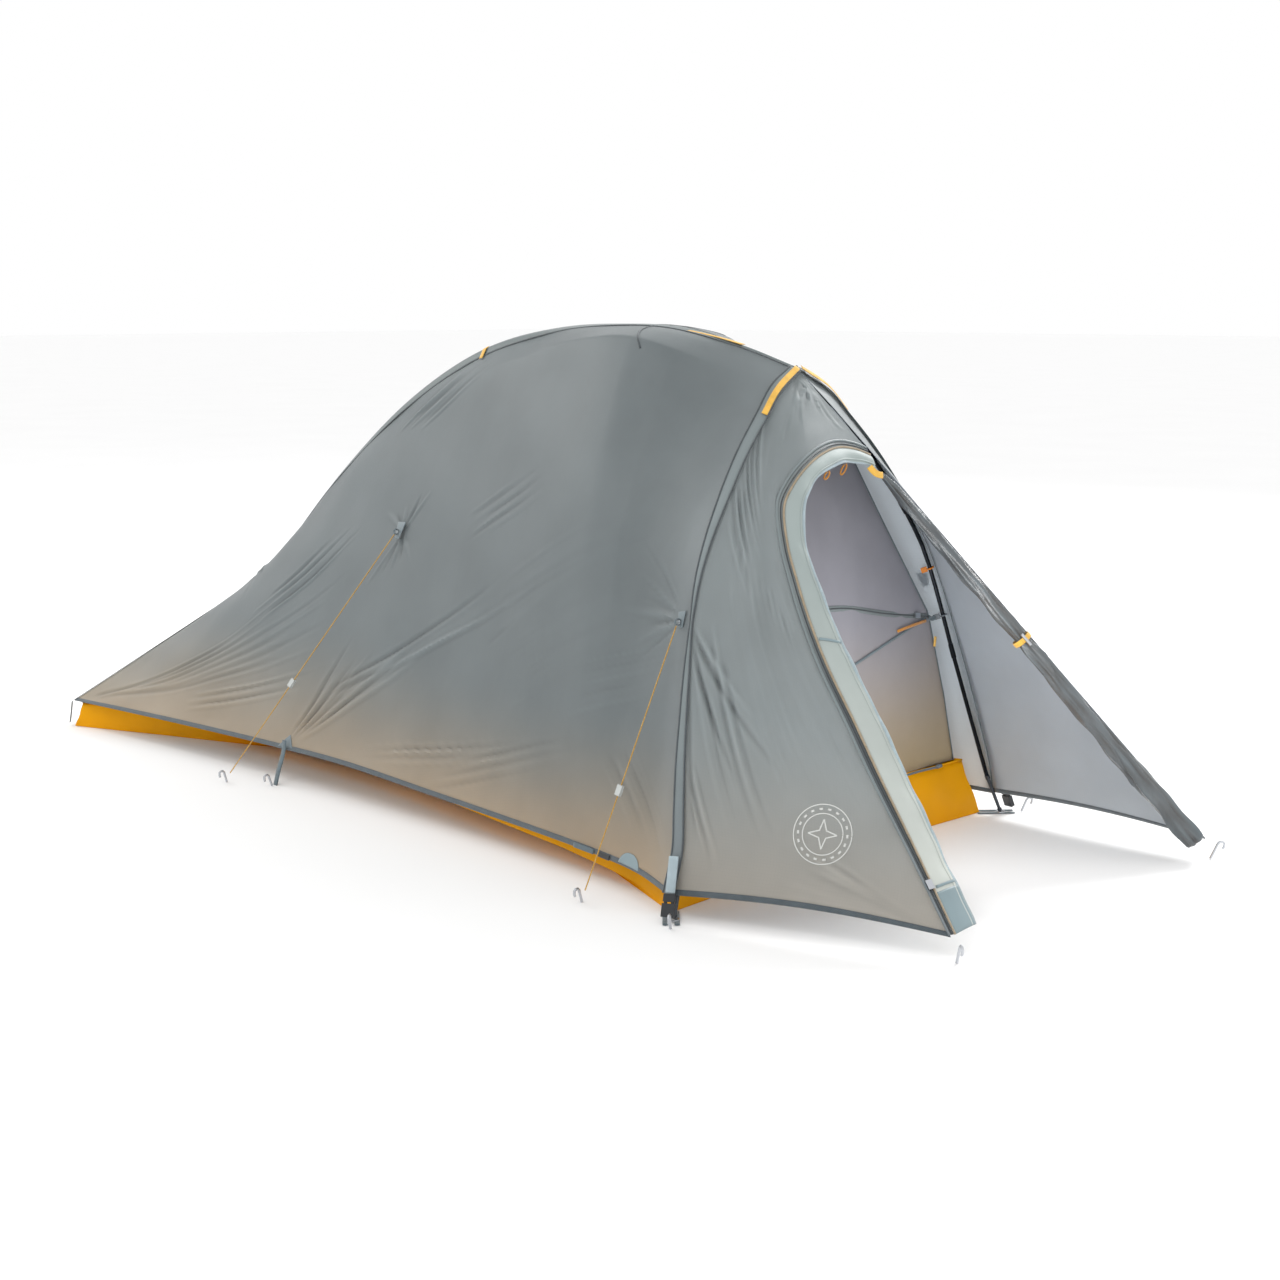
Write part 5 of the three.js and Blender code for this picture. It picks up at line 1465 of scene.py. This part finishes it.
def wall_trims():
    """Front wall: straps to the poles, braces, door pulls, tabs, and the tray's strap and toggle."""
    corner_z = 0.434
    for side, label in SIDES:
        low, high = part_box(f"clip_leg_{label}_low")
        clip = (np.array(low) + np.array(high)) / 2
        start = on_wall(side * 0.340, corner_z)
        end = clip + (-0.006, -0.012 * side, 0)
        sag = np.linspace(0, 1, 16)[:, None]
        path = start + (end - start) * sag + (0, 0, -0.003) * np.sin(np.pi * sag)
        normals = all_facing((0.8, -0.45 * side, 0.3), path)
        ribbon(f"wall_strap_{label}", path, normals, 0.010, 0.0013, GREY_WEBBING, slot="dark_webbing")
        across = np.linspace(0.330, -0.10, 30)
        path = on_wall(side * across, corner_z - (0.330 - across) * 0.262)
        ribbon(f"wall_brace_{label}", path, all_facing(WALL_OUT, path), 0.0055, 0.0010,
               GREY_WEBBING, slot="dark_webbing")
        drop = np.linspace(0, 1, 20)
        path = on_wall(side * (0.326 - 0.10 * drop), corner_z - 0.006 - 0.010 * drop ** 2, 0.0125)
        path[:, 0] += 0.004 * np.sin(np.pi * drop)
        ribbon(f"door_pull_{label}", path, all_facing(WALL_OUT, path), 0.0060, 0.0010,
               ORANGE_TAPE, slot="reflective_tape")
        path = on_wall(side * (0.357 - 0.006 * drop), 0.392 - 0.020 * drop, 0.0105)
        ribbon(f"wall_tab_{label}", path, all_facing(WALL_OUT, path), 0.0080, 0.0010,
               YELLOW_TAPE, slot="reflective_tape")
        path = on_wall(side * (0.180 + 0.152 * drop), 0.1215 + 0.002 * np.sin(3 * drop), 0.0165)
        ribbon(f"tray_strap_{label}", path, all_facing(WALL_OUT, path), 0.0048, 0.0010,
               GREY_WEBBING, slot="dark_webbing")
        path = on_wall(side * (0.333 + 0.014 * drop[:5] / drop[4]), 0.1225 + 0.002 * drop[:5], 0.0175)
        rod(f"tray_toggle_{label}", path, 0.0042, GREY_PLASTIC, sides=14, slot="buckle_plastic")


inner_seams()
inner_door()
wall_trims()


# ---- floor ------------------------------------------------------------------------------------------------
def smooth_ring(flat, count_per_edge=14):
    """A closed outline with more points between each pair."""
    fine = []
    for k in range(len(flat)):
        a, b = flat[k], flat[(k + 1) % len(flat)]
        for n in range(count_per_edge):
            fine.append(a + (b - a) * n / count_per_edge)
    return np.array(fine)


def floor_tray():
    """Coated floor whose edges turn up into a shallow tray."""
    base = smooth_ring(floor_outline(0), 10)
    rim = smooth_ring(rim_ring(TRAY_LEAN, 0), 10)
    count = len(base)
    place = np.linspace(0, 1, count, endpoint=False)
    flat = base * (FLOOR_FLAT_SHARE, FLOOR_FLAT_SHARE, 0) + (0, 0, 0.0004)
    rings = [flat * (share, share, 1) for share in (0.02, 0.3, 0.6, 0.9, 1.0)]
    rings += [flat + (base - flat) * share for share in (0.3, 0.6, 0.85)]
    for w in np.linspace(0, 1, 9):
        ring = base * (1 - w) + rim * w
        swell = 0.0022 * np.sin(2 * np.pi * 61 * place + 5 * w) * np.sin(2 * np.pi * 17 * place)
        swell = swell + 0.0016 * np.sin(2 * np.pi * 37 * place - 7 * w + 1)
        outward = unit(ring * (1, 1, 0)) * np.sin(np.pi * min(w, 0.98))
        rings.append(ring + outward * swell[:, None] * 1.2 + (0, 0, 0.0004 * (1 - w)))
    grid = np.array(rings)
    faces = grid_faces(len(rings), count, closed=True)
    faces.append(tuple(range(count)))
    a = grid[12, 3]
    facing = np.cross(grid[13, 3] - a, grid[12, 4] - a)
    if facing @ (a * (1, 1, 0)) < 0:
        faces = [face[::-1] for face in faces]
    along = np.concatenate([[0], np.cumsum(np.linalg.norm(np.diff(base, axis=0), axis=1))])
    uvs = np.stack(np.broadcast_arrays(along[None], np.linspace(0, 0.9, len(rings))[:, None]), axis=-1)
    obj = make("floor_tray", grid, faces, FLOOR_CLOTH, uvs=uvs, slot="floor_fabric", replaces=["floor"])
    obj.data.set_sharp_from_angle(angle=math.radians(50))
    thicken(obj, CLOTH)
    tape = np.vstack([rim, rim[:1]]) + (0, 0, 0.0012)
    centre = np.array([0, 0, 0.1])
    normals = unit((tape - centre) * (1, 1, 0.0))
    ribbon("tray_rim_tape", tape, normals, 0.0042, 0.0013, FLOOR_CLOTH, slot="floor_fabric")
    return obj


FLOOR_SHEET = floor_tray()


def corner_tab(name, start, end, hole):
    """Webbing tab that the pole tip stands in, with its metal eyelet."""
    path = np.linspace(start, end, 12)
    path[:, 2] = 0.0009
    normals = all_facing((0, 0, 1), path)
    for sign, part in ((-1, "near"), (1, "far")):
        across = unit(np.cross(path[-1] - path[0], np.array([0, 0, 1.0])))
        ribbon(f"{name}_{part}", path + across * sign * 0.0105, normals, 0.0095, 0.0013, GREY_WEBBING,
               slot="dark_webbing")
    angle = np.linspace(0, 2 * np.pi, 33)
    ring = np.array([hole[0], hole[1], 0.0022]) + np.stack(
        [np.cos(angle), np.sin(angle), 0 * angle], axis=1) * 0.0088
    rod(f"{name}_eyelet", ring, 0.0016, ALLOY, sides=10, slot="alloy")


for each, label in SIDES:
    corner_tab(f"front_tab_{label}", mm([1086, 481 * each, 1]), mm([1141, 539 * each, 1]),
               mm([1125, 515 * each, 0]))
corner_tab("foot_tab", mm([-1072, 0, 1]), mm([-1212, 0, 1]), mm([-1185, 0, 0]))


# ---- straps, buckles and stakes ------------------------------------------------------------------------
def corner_frame(side):
    up = unit(np.array([-10, -20 * side, 60]))
    out = np.array([0.3, side * 0.95, 0])
    out = unit(out - up * (out @ up))
    base = mm([1125, 515 * side, 0]) + out * 0.027
    return base, up, out


def corner_strap(side, label):
    """Pale webbing from the fly's corner down to its buckle."""
    base, up, out = corner_frame(side)
    path = base + up * np.linspace(0.0465, 0.1115, 24)[:, None]
    normals = np.broadcast_to(out, path.shape)
    ribbon(f"corner_webbing_{label}", path - out * 0.001, normals, 0.019, 0.0018, PALE_WEBBING,
           body=f"buckle_strap_{label}", slot="webbing", replaces=[f"corner_strap_{label}"])


def hem_loops(side, label):
    """Webbing loop at the middle of a side hem, and the foot corner's strap."""
    hem = HEM_CURVE.at(np.array(0.595)) * (1, side, 1)
    guide = Curve(hem + mm([[0, 5 * side, 22], [0, 9 * side, -4], [0, 24 * side, -46], [0, 34 * side, -78]]))
    path = guide.at(np.linspace(0, 1, 30))
    normals = all_facing((0, side, 0.5), path)
    ribbon(f"hem_loop_{label}", path, normals, 0.015, 0.0014, GREY_WEBBING, slot="dark_webbing",
           replaces=[f"stake_loop_{label}"])
    corner = HEM_CURVE.at(np.array(1.0)) * (1, side, 1)
    rear = Curve([corner + mm([-6, 3 * side, -4]), mm([-1103, 401 * side, 34]), mm([-1106, 404 * side, 8])])
    path = rear.at(np.linspace(0, 1, 20))
    normals = all_facing((-0.7, 0.7 * side, 0.1), path)
    ribbon(f"foot_corner_strap_{label}", path, normals, 0.013, 0.0014, GREY_WEBBING, slot="dark_webbing",
           replaces=[f"foot_strap_{label}"])


for each, label in SIDES:
    corner_strap(each, label)
    hem_loops(each, label)


def paint_nodes():
    """Gives every CAD node that stays in view its own material."""
    looks = {"hub": BLACK_PLASTIC, "strut_clip": BLACK_PLASTIC, "ridge_pole": POLE, "leg_pole": POLE,
             "cross_strut": POLE, "pole_tip": DARK_ALLOY, "clip_": ORANGE_PLASTIC, "stake_": ALLOY,
             "buckle_": BLACK_PLASTIC, "line_lock": PALE_PLASTIC, "door_toggle": ALLOY,
             "door_zip_slider": ALLOY, "inner_zip_slider": ALLOY}
    for name, obj in NODES.items():
        if obj.hide_render:
            continue
        found = [look for start, look in looks.items() if name.startswith(start)]
        if name.startswith("clip_leg") and name.endswith("low"):
            found = [GREY_PLASTIC]
        obj.data.materials.clear()
        obj.data.materials.append(found[0])


paint_nodes()
